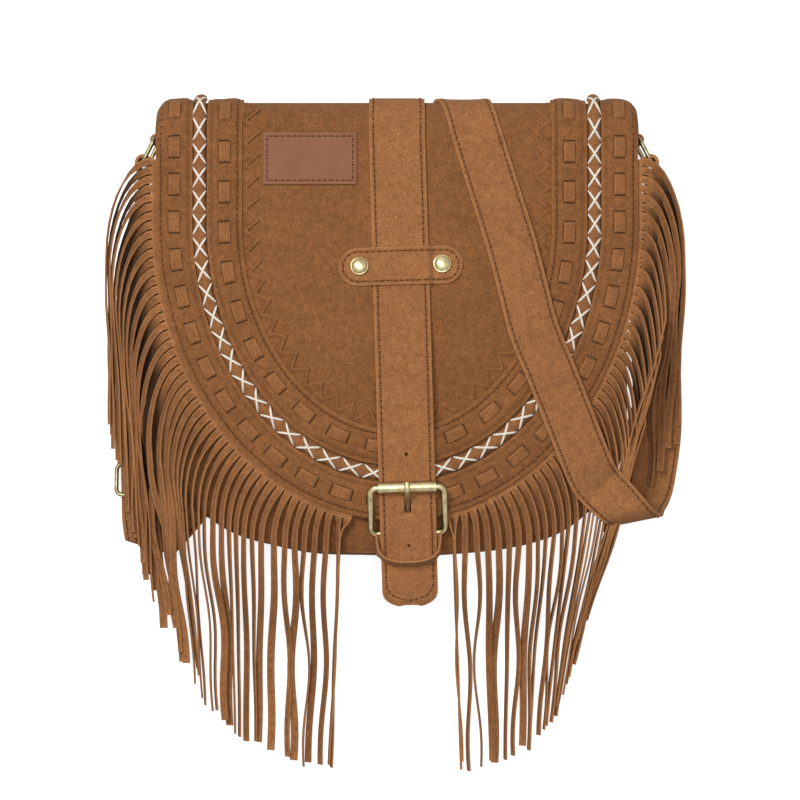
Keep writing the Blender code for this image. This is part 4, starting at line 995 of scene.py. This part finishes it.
def strip_stations(line, along, number, side, lanes, rest, chance):
    """Stations down one strip: it leaves square to the seam, turns to run down, and sinks to its rest; each
    station also carries the strip's painted shade there.
    """
    x, v = line.at(along)
    out = line.out(along)
    start = Vector((x, v)) + out * (FRINGE_MARGIN - 0.0012)
    lane, foot = knots(lanes[0], number), knots(lanes[1], number)
    spacing = abs(knots(lanes[1], number + 0.5) - knots(lanes[1], number - 0.5))
    beside = smooth((lane - 0.128) / 0.018)
    under = number % 2
    apart = spacing * (1 + beside)
    twist = math.acos(clamp((apart - FRINGE_THICK - 0.0004) / (FRINGE_PITCH - FRINGE_CUT)))
    sideways = abs(out.x)
    sway = sizes().fringe_sway
    clump = noise.noise(Vector((number * 0.43, 7.7 * side, 0.5)))
    deep = (0.75 * chance.uniform(0.75, 1.1) if under else chance.uniform(0.04, 0.30)) * beside
    lane += sway * 0.5 * clump * smooth((0.172 - lane) / 0.01)
    reach = abs(lane - abs(start.x))
    down = 0.006 + 0.042 * sideways + 0.4 * reach
    turned_at = Vector((side * lane, start.y - down))
    handles = (start, start + out * (0.002 + 0.5 * reach), turned_at + Vector((0, 0.55 * down)), turned_at)
    length = BOTTOM_LENGTH + (SIDE_LENGTH - BOTTOM_LENGTH) * smooth(sideways)
    end = Vector((side * foot, turned_at.y - (length - down - 0.6 * reach)))
    if foot > CURL_INNER_X and side > 0:
        end.y = max(end.y, CURL_INNER_Y)
    end.y += chance.uniform(-0.003, 0.004)
    tight = smooth((twist - 0.8) / 0.5)
    end.x += (chance.uniform(-1, 1) * (1 - 0.6 * tight) + side * clump) * sway
    bow = chance.uniform(-1, 1) * sway * (1 - 0.5 * tight)
    roll = chance.uniform(-0.9, 0.7) * (1 - 0.7 * tight)
    twist = max(twist, 0.92 - (0.72 if under else -0.10) * beside)
    a, b, c, d = handles
    route = [a * (1 - t) ** 3 + b * 3 * t * (1 - t) ** 2 + c * 3 * t**2 * (1 - t) + d * t**3
             for t in np.linspace(0, 1, 10)]
    for t in np.linspace(0, 1, 19)[1:]:
        point = turned_at.lerp(end, t)
        point.x += bow * math.sin(math.pi * t) * math.sin(0.7 + 2.2 * math.pi * t)
        route.append(point)
    over_edge = body_bottom(foot) - 0.007 if foot < BODY_HALF_WIDTH + 0.003 else SIDE_SINK_Y
    clear_y = min(over_edge, start.y)
    low = FLOOR_REST + (rest - FLOOR_REST - UNDER_DROP * under) * smooth((foot - 0.085) / 0.035)
    sink_length = 0.070 + 0.008 * beside
    last, stations = start - out * 0.001, []
    for i, point in enumerate(route):
        heading = (point - last).normalized()
        flat = Vector((-heading.y, heading.x, 0))
        sink = smooth((clear_y - point.y) / sink_length)
        turn = twist * smooth((i + 1) / 6) + roll * smooth((i - 5) / 18)
        across = flat * math.cos(turn) + Vector((0, 0, 1)) * math.sin(turn)
        level = rise(point.x, point.y) + LAYER_2 + SKIN / 2
        free = smooth((abs(point.x) - BODY_HALF_WIDTH) / 0.010)
        deeper = UNDER_DEPTH * deep * free * smooth((i - 1) / 6) * (1 - sink)
        sunk = level + (low - level) * sink - deeper
        # Painted shade: deep strips beside the body are darkened nearly to black, less near the root and the
        # end, and clumps of strips a little more along their length.
        painted_shade = beside * (0.90 * free if under else 0.04)
        painted_shade *= smooth((i - 0.2) / 4) * (1 - 0.9 * smooth((i - 16) / 9))
        painted_shade += 0.30 * clump * smooth((i - 6) / 8)
        stations.append((Vector((point.x, point.y, sunk)), across, painted_shade))
        last = point
    return stations


def build_fringe(name, side, lanes, rest):
    """One side's sewn margin and its strips, cut from one sheet."""
    line = Round(0.0, FRINGE_START_Y)
    stop = 0.5 * line.length - FRINGE_STOP_X
    count = int(stop / FRINGE_PITCH)
    strip = FRINGE_PITCH - FRINGE_CUT
    chance = random.Random(sizes().fringe_seed + side)
    rows = count * 3
    reach = FRINGE_PITCH * count - FRINGE_CUT

    def margin(row, column):
        gone = reach * row / rows
        along = gone if side < 0 else line.length - gone
        across = -FRINGE_TUCK + (FRINGE_TUCK + FRINGE_MARGIN) * column / 3
        return line.place(along, across, LAYER_2 + SKIN / 2)

    parts = [grid("margin", rows, 3, margin)]
    for number in range(count):
        middle = FRINGE_PITCH * number + strip / 2
        along = middle if side < 0 else line.length - middle
        stations = strip_stations(line, along, number, side, lanes, rest, chance)
        cup = chance.uniform(0.0001, 0.0006)

        def place(row, column, stations=stations, cup=cup):
            point, across, painted_shade = stations[row]
            across = across.normalized()
            before, after = stations[max(row - 1, 0)][0], stations[min(row + 1, len(stations) - 1)][0]
            up = across.cross((after - before).normalized())
            part = column - 1
            return point + across * strip / 2 * part * side + up * cup * (1 - part * part) * smooth(row / 6)

        made = grid("strip", len(stations) - 1, 2, place)
        # The strip's painted shade goes onto its points as an attribute, for the suede finish to darken it by.
        painted_shade = made.data.attributes.new("painted_shade", "FLOAT", "POINT")
        painted_shade.data.foreach_set("value", [clamp(station[2]) for station in stations] * 3)
        parts.append(made)
    made = join(name + "_strips", parts)
    coat(made, "strip", "strip")
    thicken(made, FRINGE_THICK, 0.0)
    dress(made, "strip", "bag", (name,), "suede", 40)


# Closing strap and buckle

def build_closing_strap():
    top_v = FOLD_Y + STRAP_END_ANGLE * FOLD_RADIUS
    first = STRAP_TOP[1] - FOLD_Y
    middle_h = STRAP_LOW + STRAP_THICK / 2
    stations = [(v, None, 1.0) for v in np.linspace(top_v, FOLD_Y, 22)[:-1]]
    stations += [(None, u, 1.0) for u in np.linspace(first, STRAP_TIP_U - TIP_LENGTH, 110)]
    for part, share in ((0.28, 0.985), (0.52, 0.93), (0.72, 0.83), (0.86, 0.70), (0.95, 0.56), (1.0, 0.38)):
        stations.append((None, STRAP_TIP_U - TIP_LENGTH + TIP_LENGTH * part, share))
    columns = 12

    def place(row, column):
        v, u, share = stations[row]
        part = column / columns - 0.5
        width = STRAP_WIDTH * share * part
        crown = -0.0003 * (2 * abs(part)) ** 6
        if u is None:
            x, _ = strap_xy(width, first)
            return flap_point(x, v, middle_h + crown)
        return strap_point(width, u, STRAP_THICK / 2 + crown)

    made = grid("long_strap", len(stations) - 1, columns, place)
    coat(made, "strap", "edge")
    thicken(made, STRAP_THICK, 0.0003)
    for u in HOLES_U:
        punch(made, strap_point(0, u))
    slit(made, Matrix.Translation(strap_point(0, BAR_U - 0.0176)) @ STRAP_FRAME, (0.0042, 0.0092, KNIFE_DEPTH))
    dress(made, "strap", "bag", ("closing_strap",), "suede")

    side, tip_u = STRAP_WIDTH / 2 - STRAP_SEAM_IN, STRAP_TIP_U - 0.016
    runs = []
    for v in (-side, side):
        runs.append((lambda s, h, v=v: strap_point(v, s, STRAP_THICK + h), first, tip_u))
        runs.append((lambda s, h, v=v: flap_point(strap_xy(v, first)[0], s, STRAP_LOW + STRAP_THICK + h),
                     FOLD_Y, top_v - 0.002))

    def round_tip(s, h):
        turn = math.pi * s
        u = tip_u + 0.0128 * math.sin(turn) ** 0.8 if 0 < s < 1 else tip_u
        return strap_point(-side * math.cos(turn), u, STRAP_THICK + h)

    length = 0.046
    runs.append((lambda s, h: round_tip(clamp(s / length), h), 0.0015, length - 0.0015))
    sewn("long_strap_stitches", runs)


def cut(made, knife):
    """Takes the knife's volume out of the piece."""
    gap = made.modifiers.new("gap", "BOOLEAN")
    gap.object = knife
    gap.solver = "EXACT"
    apply_all(made)
    bpy.data.objects.remove(knife)


def punch(made, spot):
    """A round hole through the strap."""
    bpy.ops.mesh.primitive_cylinder_add(vertices=20, radius=HOLE_RADIUS, depth=KNIFE_DEPTH, location=spot)
    cut(made, bpy.context.object)


def slit(made, place, size):
    """An oblong gap through a strap, in the middle of the place's own frame."""
    bpy.ops.mesh.primitive_cube_add(size=1)
    knife = bpy.context.object
    knife.data.transform(place @ Matrix.Diagonal((*size, 1)))
    cut(made, knife)


def build_bridge():
    high = STRAP_LOW + STRAP_THICK + GAP + 0.0004
    low = PANEL + GAP
    half = BRIDGE_LENGTH / 2
    step = STRAP_WIDTH / 2 + 0.0012
    centre_rise = strap_xy(0, BRIDGE_U)[0]
    rows, columns = 64, 8

    def share(v):
        """How wide the tab is there: round at its ends."""
        near = (half - abs(v)) / (BRIDGE_WIDTH / 2)
        return 1.0 if near >= 1 else max(0.18, math.sqrt(max(0.0, 1 - (1 - near) ** 2)))

    def surface(v, w, h):
        x, y = strap_xy(v, BRIDGE_U + w)
        lift = smooth((step + 0.0014 - abs(v)) / 0.0028)
        ground = rise(centre_rise, y) * lift + rise(x, y) * (1 - lift)
        return Vector((x, y, ground + low + (high - low) * lift + h))

    def place(row, column):
        v = half * math.sin(math.pi * (row / rows - 0.5)) * 0.5 + half * (2 * row / rows - 1) * 0.5
        w = BRIDGE_WIDTH * share(v) * (column / columns - 0.5)
        return surface(v, w, TAB_THICK / 2)

    sheet("riveted_tab", rows, columns, place, TAB_THICK, "strap", "strap_bridge")

    flat, radius = half - BRIDGE_WIDTH / 2, BRIDGE_WIDTH / 2 - TAB_SEAM_IN
    round_length = math.pi * radius
    whole = 4 * flat + 2 * round_length

    def seam(s, h):
        s %= whole
        if s < 2 * flat:
            return surface(-flat + s, -radius, TAB_THICK + h)
        s -= 2 * flat
        if s < round_length:
            turn = s / radius
            return surface(flat + radius * math.sin(turn), -radius * math.cos(turn), TAB_THICK + h)
        s -= round_length
        if s < 2 * flat:
            return surface(flat - s, radius, TAB_THICK + h)
        turn = (s - 2 * flat) / radius
        return surface(-flat - radius * math.sin(turn), radius * math.cos(turn), TAB_THICK + h)

    sewn("riveted_tab_stitches", [(seam, 0.0, whole)])
    for side, name in ((-1, "rivet_left"), (1, "rivet_right")):
        build_rivet(name, side, low + TAB_THICK + 2 * LAYER_GAP + GAP / 2)


def build_rivet(name, side, seat):
    x, y = strap_xy(side * RIVET_V, BRIDGE_U)
    step = 0.002
    slope_x = (rise(x + step, y) - rise(x - step, y)) / (2 * step)
    slope_y = (rise(x, y + step) - rise(x, y - step)) / (2 * step)
    turn = Vector((-slope_x, -slope_y, 1)).to_track_quat("Z", "Y").to_matrix().to_4x4()
    profile = [(0.0, seat + RIVET_RISE)]
    for i in range(1, 13):
        angle = math.pi / 2 * i / 12
        height = 0.0005 + (RIVET_RISE - 0.0005) * math.cos(angle)
        profile.append((RIVET_DOME / 2 * 0.93 * math.sin(angle), seat + height))
    rim = RIVET_RIM / 2
    profile += [(rim * 0.955, seat + 0.0004), (rim * 0.985, seat + 0.0005), (rim, seat + 0.0003),
                (rim, seat - 0.0006), (0.0015, seat - 0.0006), (0.0015, -0.0008), (0.0, -0.0008)]
    turned(name + "_dome", profile, Matrix.Translation((x, y, rise(x, y))) @ turn, name)


def build_buckle():
    v = (BUCKLE_WIDTH - WIRE) / 2
    slope = (ROLLER_Z - BAR_Z) / (BAR_U - ROLLER_U)
    points = []
    for side, bar, turn in ((1, ROLLER_U, 90), (1, BAR_U, 0), (-1, BAR_U, -90), (-1, ROLLER_U, 180)):
        inner_u = bar + BUCKLE_BEND if bar == ROLLER_U else bar - BUCKLE_BEND
        for i in range(13):
            angle = math.radians(turn - 7.5 * i)
            across = side * (v - BUCKLE_BEND) + BUCKLE_BEND * math.cos(angle)
            u = inner_u - BUCKLE_BEND * math.sin(angle)
            points.append(tilted(across, u, BAR_Z + (BAR_U - u) * slope))
    wire("buckle_wire", points, WIRE / 2 + 0.00025, "buckle_frame", closed=True, resolution=7)

    bore, reach, ease = WIRE / 2 + GAP, ROLLER_WIDTH / 2, 0.0003
    profile = [(bore, -reach), (ROLLER_RADIUS - ease, -reach), (ROLLER_RADIUS, -reach + ease),
               (ROLLER_RADIUS, reach - ease), (ROLLER_RADIUS - ease, reach), (bore, reach), (bore, -reach)]
    lying = STRAP_FRAME @ Matrix.Rotation(math.pi / 2, 4, "Y")
    matrix = Matrix.Translation(tilted(0, ROLLER_U, ROLLER_Z)) @ lying
    turned("buckle_tube", profile, matrix, "buckle_roller", "roller")

    top = ROLLER_Z + ROLLER_RADIUS + PRONG_CLEAR + PRONG_RADIUS
    strap = bed_z(BAR_U - 0.0195)
    run = ((BAR_U - 0.0095, strap - 0.0025), (BAR_U - 0.0147, strap - 0.0016),
           (BAR_U - 0.0200, strap + 0.0030), (BAR_U - 0.0232, ROLLER_Z + 0.0006),
           (ROLLER_U + 0.0010, top + 0.0001), (ROLLER_U - 0.0030, top - 0.0004))
    prong = prong_wire("buckle_tongue", (BAR_U, BAR_Z), PRONG_RADIUS, WIRE / 2, run,
                       lambda u, z: tilted(0, u, z), "buckle_prong", "prong")
    middle = tilted(0, BAR_U, 0)
    for vertex in prong.data.vertices:
        vertex.co += STRAP_ACROSS * (vertex.co - middle).dot(STRAP_ACROSS) * 0.28


def prong_wire(name, bar, radius, bar_radius, run, to_world, node, body):
    """A prong: an eye round its bar, then a run through the strap onto the far bar."""
    eye = bar_radius + GAP + radius
    points = []
    for i in range(22):
        turn = math.radians(-175 + 265 * i / 22)
        points.append((bar[0] + eye * math.cos(turn), 0, bar[1] + eye * math.sin(turn)))
    flat = [(bar[0], 0, bar[1] + eye), *[(u, 0, z) for u, z in run]]
    points += [tuple(p) for p in curve_through(flat, 8)]
    return wire(name, [to_world(u, z) for u, _, z in points], radius, node, body)


def build_tab_and_keeper():
    eye = WIRE / 2 + GAP + LAYER_GAP + TAB_THICK / 2
    x, y = strap_xy(0, TAB_END_U)
    seat = rise(x, y) - FLAP_CLEAR + GAP + TAB_THICK / 2
    path = [(TAB_END_U, seat), (BAR_U + 0.010, seat + 0.0001), (BAR_U + 0.005, seat + 0.0003)]
    for i in range(17):
        angle = math.radians(-70 - 12.5 * i)
        path.append((BAR_U + eye * math.cos(angle), BAR_Z + eye * math.sin(angle)))
    seat += TAB_THICK + GAP
    path += [(BAR_U + 0.006, seat + 0.0020), (BAR_U + 0.011, seat + 0.0006), (TAB_END_U, seat)]
    stations = [(tilted(0, u, z), STRAP_ACROSS) for u, z in path]
    tab = ribbon("buckle_holder", stations, TAB_WIDTH, TAB_THICK, "strap", "buckle_tab")
    slit(tab, Matrix.Translation(tilted(0, BAR_U - 0.0005, BAR_Z)) @ STRAP_FRAME, (0.0046, 0.0190, KNIFE_DEPTH))

    build_keeper()


def build_keeper():
    """The loose loop round the strap: its front droops and stands on edge."""
    half, width = KEEPER_SPAN / 2, KEEPER_WIDTH - 0.0025
    down = STRAP_DOWN.copy()
    front = (down * 0.30 - Vector((0, 0, 0.95))).normalized()
    below = bed_z(KEEPER_U) - GAP - SKIN / 2 - 0.0004

    def behind(v):
        return tilted(v, KEEPER_U - 0.0050, below), down

    stations = [behind(0.0003), behind(half * 0.8)]
    for i in range(29):
        t = 1 - i / 14
        k = smooth((1 - abs(t)) / 0.32)
        u = KEEPER_U - 0.0088 + 0.0142 * (1 - abs(t) ** 2.4)
        stand = strap_z(u) + STRAP_THICK + 0.0003 + width * 0.475
        low = strap_z(u) + 0.0012
        middle = tilted(half * math.sin(math.pi / 2 * t), u, low + (stand - low) * k)
        stations.append((middle, down.lerp(front, k)))
    stations += [behind(-half * 0.8), behind(-0.0003)]
    ribbon("keeper", stations, width, SKIN, "strap", "keeper_loop")


def build_patch():
    rows, columns = 30, 18

    def point(s, t, h):
        x, y = PATCH_X + PATCH_WIDTH * (s - 0.5), PATCH_Y + PATCH_HEIGHT * (t - 0.5)
        return flap_point(x, y, LAYER_2 + h)

    made = grid("bare_patch", rows, columns, lambda r, c: point(r / rows, c / columns, SKIN / 2))
    coat(made, "leather", "leather")
    thicken(made, SKIN, 0.0003)
    dress(made, "leather", "bag", ("label_patch",), "smooth_leather", rim=False)

    wide, tall = PATCH_WIDTH - 2 * TAB_SEAM_IN, PATCH_HEIGHT - 2 * TAB_SEAM_IN
    corners = ((0, 0), (wide, 0), (wide, tall), (0, tall), (0, 0))
    runs = []
    for (x0, y0), (x1, y1) in zip(corners, corners[1:]):
        length = math.hypot(x1 - x0, y1 - y0)

        def side(s, h, x0=x0, y0=y0, x1=x1, y1=y1, length=length):
            x, y = x0 + (x1 - x0) * s / length, y0 + (y1 - y0) * s / length
            return point((x + TAB_SEAM_IN) / PATCH_WIDTH, (y + TAB_SEAM_IN) / PATCH_HEIGHT, SKIN + h)

        runs.append((side, 0.0, length))
    sewn("bare_patch_stitches", runs)


# Rings and shoulder strap

def ring_point(side, out, z):
    return Vector((side * (RING_X + out * math.sin(RING_LEAN)), RING_Y - out * math.cos(RING_LEAN), z))


def build_ring(side):
    name = "left" if side < 0 else "right"
    half, points = RING_SPAN / 2, []
    for out, z, turn in ((RING_REACH, half, 90), (RING_REACH, -half, 0), (0, -half, -90), (0, half, 180)):
        middle_out = out - RING_BEND if out else RING_BEND
        middle_z = z - math.copysign(RING_BEND, z)
        for i in range(9):
            angle = math.radians(turn - 11.25 * i)
            out_by, up_by = RING_BEND * math.cos(angle), RING_BEND * math.sin(angle)
            points.append(ring_point(side, middle_out + out_by, RING_Z + middle_z + up_by))
    wire(f"ring_{name}", points, RING_WIRE / 2, f"strap_ring_{name}", f"ring_{name}", closed=True,
         finish="old_brass")

    eye = RING_WIRE / 2 + LOOP_GAP + TAB_THICK / 2
    wall = BODY_HALF_WIDTH + PANEL / 2 + TAB_THICK / 2
    path = [(wall, GUSSET_TOP_Y - 0.030), (wall, GUSSET_TOP_Y - 0.018), (wall, RING_Y + 0.001)]
    for i in range(15):
        turn = math.radians(150 - 17 * i)
        path.append((RING_X + eye * math.cos(turn), RING_Y + eye * math.sin(turn)))
    path += [(wall + TAB_THICK + 2 * GAP, RING_Y - 0.009), (wall + TAB_THICK + GAP, RING_Y - 0.016),
             (wall + TAB_THICK + GAP, GUSSET_TOP_Y - 0.030)]
    stations = [(Vector((side * x, y, RING_Z + 0.0005)), Vector((0, 0, 1))) for x, y in path]
    ribbon(f"side_loop_{name}", stations, SIDE_TAB_WIDTH, TAB_THICK, "strap", f"side_tab_{name}")


def ring_loop(side):
    """Stations of a strap's end round the far side of a ring."""
    far = ring_point(side, RING_REACH, RING_Z)
    eye = RING_WIRE / 2 + RING_SLACK + SHOULDER_THICK / 2
    path = [(SHOULDER_THICK + GAP, -0.028), (0.0022, -0.020), (0.0020, -0.012)]
    for i in range(15):
        turn = math.radians(-20 + 16 * i)
        path.append((eye * math.cos(turn), eye * math.sin(turn)))
    path.append((-0.0006, -0.011))
    return [(far + Vector((side * x, y, 0)), Vector((0, 0, 1))) for x, y in path]


def laid(x, v, degrees, left_h, right_h):
    turn = math.radians(degrees)
    side_x, side_v = SHOULDER_WIDTH / 2 * math.cos(turn), SHOULDER_WIDTH / 2 * math.sin(turn)
    left, right = flap_point(x - side_x, v - side_v, left_h), flap_point(x + side_x, v + side_v, right_h)
    return (left + right) / 2, (right - left).normalized()


def edge_seams(stations):
    """Seams along a strap, near both its edges, on its upper and its lower side."""
    middles = np.array([list(p) for p, _ in stations])
    sides = np.array([list(a.normalized()) for _, a in stations])
    across_by = SHOULDER_WIDTH / 2 - STRAP_SEAM_IN
    steps = np.linalg.norm(np.diff(middles, axis=0), axis=1)
    along = np.concatenate([[0], np.cumsum(steps)])

    def read(values, s):
        return Vector([np.interp(s, along, values[:, k]) for k in range(3)])

    def run(edge, face):
        def spot(s, h):
            across = read(sides, s).normalized()
            ahead = (read(middles, s + 0.001) - read(middles, s - 0.001)).normalized()
            up = across.cross(ahead).normalized() * face
            return read(middles, s) + across * edge * across_by + up * (SHOULDER_THICK / 2 + h)

        return spot, 0.004, float(along[-1]) - 0.004

    return [run(edge, face) for edge in (-1, 1) for face in (-1, 1)]


def build_shoulder_strap():
    half = SHOULDER_THICK / 2
    top_h = PANEL + LAYER_GAP + half + GAP
    over = []
    for degrees in (145, 120, 90, 60, 30, 0):
        along = math.radians(degrees) * FOLD_RADIUS
        over.append(laid(0.0490 - 0.305 * along, FOLD_Y + along, 17, top_h, top_h))
    front = [laid(x, y, turn, top_h + a, top_h + b) for x, y, turn, a, b in SHOULDER_FRONT]
    under = [(Vector((x, y, LOWEST + z)), Vector((*across, 0))) for x, y, z, across in SHOULDER_UNDER]
    curl = [(Vector((x, y, z)), Vector(across)) for x, y, z, across in SHOULDER_CURL]
    route = [*under[::-1], *over, *front, *curl]
    stations = [*through(route, 8), *ring_loop(1)[::-1]]
    long = ribbon("carrying_strap", stations, SHOULDER_WIDTH, SHOULDER_THICK, "strap",
                  "shoulder_strap_long", 8)
    adjuster_slit(long, ADJUSTER_Y - 0.0100, 0.0105)
    sewn("carrying_strap_stitches", edge_seams(through(route, 8)))

    eye = RING_WIRE / 2 + LOOP_GAP + half
    path = [(ADJUSTER_Y + 0.020, ADJUSTER_BAR_Z + eye + 0.0002)]
    for i in range(15):
        turn = math.radians(90 + 12.85 * i)
        path.append((ADJUSTER_Y + eye * math.cos(turn), ADJUSTER_BAR_Z + eye * math.sin(turn)))
    short = [(Vector((ADJUSTER_X, y, z)), Vector((1, 0, 0))) for y, z in path]
    rising = through([(Vector((x, y, z)), Vector(across)) for x, y, z, across in SHORT_RISE], 8)
    end = [(p, -a) for p, a in ring_loop(-1)[::-1]]
    stations = [*short, *rising, *end]
    strap = ribbon("short_strap", stations, SHOULDER_WIDTH, SHOULDER_THICK, "strap",
                   "shoulder_strap_short", 8)
    adjuster_slit(strap, ADJUSTER_Y - 0.0010, 0.0125)
    sewn("short_strap_stitches", edge_seams(rising))


def adjuster_slit(made, y, length):
    slit(made, Matrix.Translation((ADJUSTER_X, y, 0.0080)), (4 * ADJUSTER_PRONG, length, 0.022))


def build_adjuster():
    v = (ADJUSTER_WIDTH - RING_WIRE) / 2
    far_y = ADJUSTER_Y - ADJUSTER_LENGTH + RING_WIRE
    far_z = ADJUSTER_BAR_Z + ADJUSTER_LIFT
    points = []
    for side, y, turn in ((1, ADJUSTER_Y, 90), (1, far_y, 0), (-1, far_y, -90), (-1, ADJUSTER_Y, 180)):
        inner = y - RING_BEND if y == ADJUSTER_Y else y + RING_BEND
        for i in range(10):
            angle = math.radians(turn - 10 * i)
            place_y = inner + RING_BEND * math.sin(angle)
            share = (ADJUSTER_Y - place_y) / (ADJUSTER_Y - far_y)
            x = ADJUSTER_X + side * (v - RING_BEND) + RING_BEND * math.cos(angle)
            points.append(Vector((x, place_y, ADJUSTER_BAR_Z + (far_z - ADJUSTER_BAR_Z) * share)))
    wire("adjuster_wire", points, RING_WIRE / 2, "adjuster_frame", closed=True, finish="old_brass")
    top = far_z + RING_WIRE / 2 + GAP + ADJUSTER_PRONG
    bar = (-ADJUSTER_Y, ADJUSTER_BAR_Z)
    rising = ((0.0040, 0.0030), (0.0095, 0.0044), (0.0135, 0.0068))
    run = [(bar[0] + u, bar[1] + z) for u, z in rising]
    run += [(-far_y - 0.0005, top), (-far_y + 0.0030, top - 0.0004)]
    prong_wire("adjuster_tongue", bar, ADJUSTER_PRONG, RING_WIRE / 2, run,
               lambda u, z: Vector((ADJUSTER_X, -u, z)), "adjuster_prong", "adjuster_prong")


# Stage

def build_stage():
    scene = bpy.context.scene
    scene.view_settings.view_transform = "Standard"
    camera = bpy.data.cameras.new("camera")
    camera.lens, camera.sensor_width = CAMERA_LENS, CAMERA_SENSOR
    camera.clip_start, camera.clip_end = 0.05, 50
    made = bpy.data.objects.new("camera", camera)
    made.location = CAMERA_AT
    scene.collection.objects.link(made)
    scene.camera = made

    for name, place, size, power in LAMPS:
        lamp = bpy.data.lights.new(name, "AREA")
        lamp.size = size
        lamp.energy = power
        light = bpy.data.objects.new(name, lamp)
        light.location = place
        light.rotation_euler = (-Vector(place)).to_track_quat("-Z", "Y").to_euler()
        scene.collection.objects.link(light)

    world = Tree(bpy.data.worlds.new("studio"))
    strength = world.ramp(world.seen_directly(), 0, 1, ROOM_LIGHT, 1.0)
    world.feed(world.nodes["Background"], [("Color", WHITE), ("Strength", strength)])
    scene.world = world.owner

    bpy.ops.mesh.primitive_plane_add(size=6, location=(0, 0, FLOOR_Z))
    floor = bpy.context.object
    floor.name = "floor"
    pale = new_material("floor")
    glow = pale.ramp(pale.seen_directly(), 0, 1, 0.0, FLOOR_GLOW)
    shade = (FLOOR_SHADE, FLOOR_SHADE, FLOOR_SHADE, 1)
    pale.surface(Base_Color=shade, Roughness=0.9, Emission_Color=WHITE, Emission_Strength=glow)
    floor.data.materials.append(pale.owner)


# Operators

class BAG_OT_stage(bpy.types.Operator):
    """Sets up the camera, the lamps and the pale floor"""

    bl_idname = "bag.stage"
    bl_label = "Stage"

    def execute(self, context):
        build_stage()
        return {"FINISHED"}


class BAG_OT_body(bpy.types.Operator):
    """Builds the back, the front and the wall between them"""

    bl_idname = "bag.body"
    bl_label = "Body"

    def execute(self, context):
        build_body()
        return {"FINISHED"}


class BAG_OT_flap(bpy.types.Operator):
    """Builds the flap and its zigzag edge"""

    bl_idname = "bag.flap"
    bl_label = "Flap"

    def execute(self, context):
        build_flap()
        return {"FINISHED"}


class BAG_OT_bands(bpy.types.Operator):
    """Builds the two bands with their woven laces and seams"""

    bl_idname = "bag.bands"
    bl_label = "Bands"

    def execute(self, context):
        build_band("outer_band", OUTER)
        build_band("inner_band", INNER)
        return {"FINISHED"}


class BAG_OT_piping(bpy.types.Operator):
    """Builds the piping and the white cord crossed over it"""

    bl_idname = "bag.piping"
    bl_label = "Piping"

    def execute(self, context):
        build_piping()
        return {"FINISHED"}


class BAG_OT_fringe(bpy.types.Operator):
    """Builds the two fringes, strip by strip"""

    bl_idname = "bag.fringe"
    bl_label = "Fringe"

    def execute(self, context):
        build_fringe("fringe_left", -1, LEFT_LANES, LEFT_REST)
        build_fringe("fringe_right", 1, RIGHT_LANES, RIGHT_REST)
        return {"FINISHED"}


class BAG_OT_closing(bpy.types.Operator):
    """Builds the closing strap, its riveted tab, its holder and its keeper"""

    bl_idname = "bag.closing"
    bl_label = "Closing strap"

    def execute(self, context):
        build_closing_strap()
        build_bridge()
        build_tab_and_keeper()
        return {"FINISHED"}


class BAG_OT_buckle(bpy.types.Operator):
    """Builds the brass buckle"""

    bl_idname = "bag.buckle"
    bl_label = "Buckle"

    def execute(self, context):
        build_buckle()
        return {"FINISHED"}


class BAG_OT_patch(bpy.types.Operator):
    """Builds the bare stitched patch"""

    bl_idname = "bag.patch"
    bl_label = "Patch"

    def execute(self, context):
        build_patch()
        return {"FINISHED"}


class BAG_OT_shoulder(bpy.types.Operator):
    """Builds the rings, the carrying strap and its adjuster"""

    bl_idname = "bag.shoulder"
    bl_label = "Shoulder strap"

    def execute(self, context):
        build_ring(-1)
        build_ring(1)
        build_shoulder_strap()
        build_adjuster()
        return {"FINISHED"}


PIECES = (BAG_OT_stage, BAG_OT_body, BAG_OT_flap, BAG_OT_bands, BAG_OT_piping, BAG_OT_fringe, BAG_OT_closing,
          BAG_OT_buckle, BAG_OT_patch, BAG_OT_shoulder)


class BAG_PT_panel(bpy.types.Panel):
    """Lists the bag's sizes, colours and pieces"""

    bl_label = "Fringed suede bag"
    bl_idname = "BAG_PT_panel"
    bl_space_type = "VIEW_3D"
    bl_region_type = "UI"
    bl_category = "Bag"

    def draw(self, context):
        for group in (context.scene.bag_sizes, context.scene.bag_colours):
            box = self.layout.box()
            for name in group.bl_rna.properties.keys():
                if name not in ("rna_type", "name"):
                    box.prop(group, name)
        for piece in PIECES:
            self.layout.operator(piece.bl_idname)


CLASSES = (BagSizes, BagColours, *PIECES, BAG_PT_panel)


def register():
    for each in CLASSES:
        bpy.utils.register_class(each)
    bpy.types.Scene.bag_sizes = PointerProperty(type=BagSizes)
    bpy.types.Scene.bag_colours = PointerProperty(type=BagColours)


def unregister():
    del bpy.types.Scene.bag_colours
    del bpy.types.Scene.bag_sizes
    for each in reversed(CLASSES):
        bpy.utils.unregister_class(each)


def main():
    register()
    bpy.ops.object.select_all(action="DESELECT")
    for piece in PIECES:
        getattr(bpy.ops.bag, piece.bl_idname.split(".")[1])()


if __name__ == "__main__":
    main()
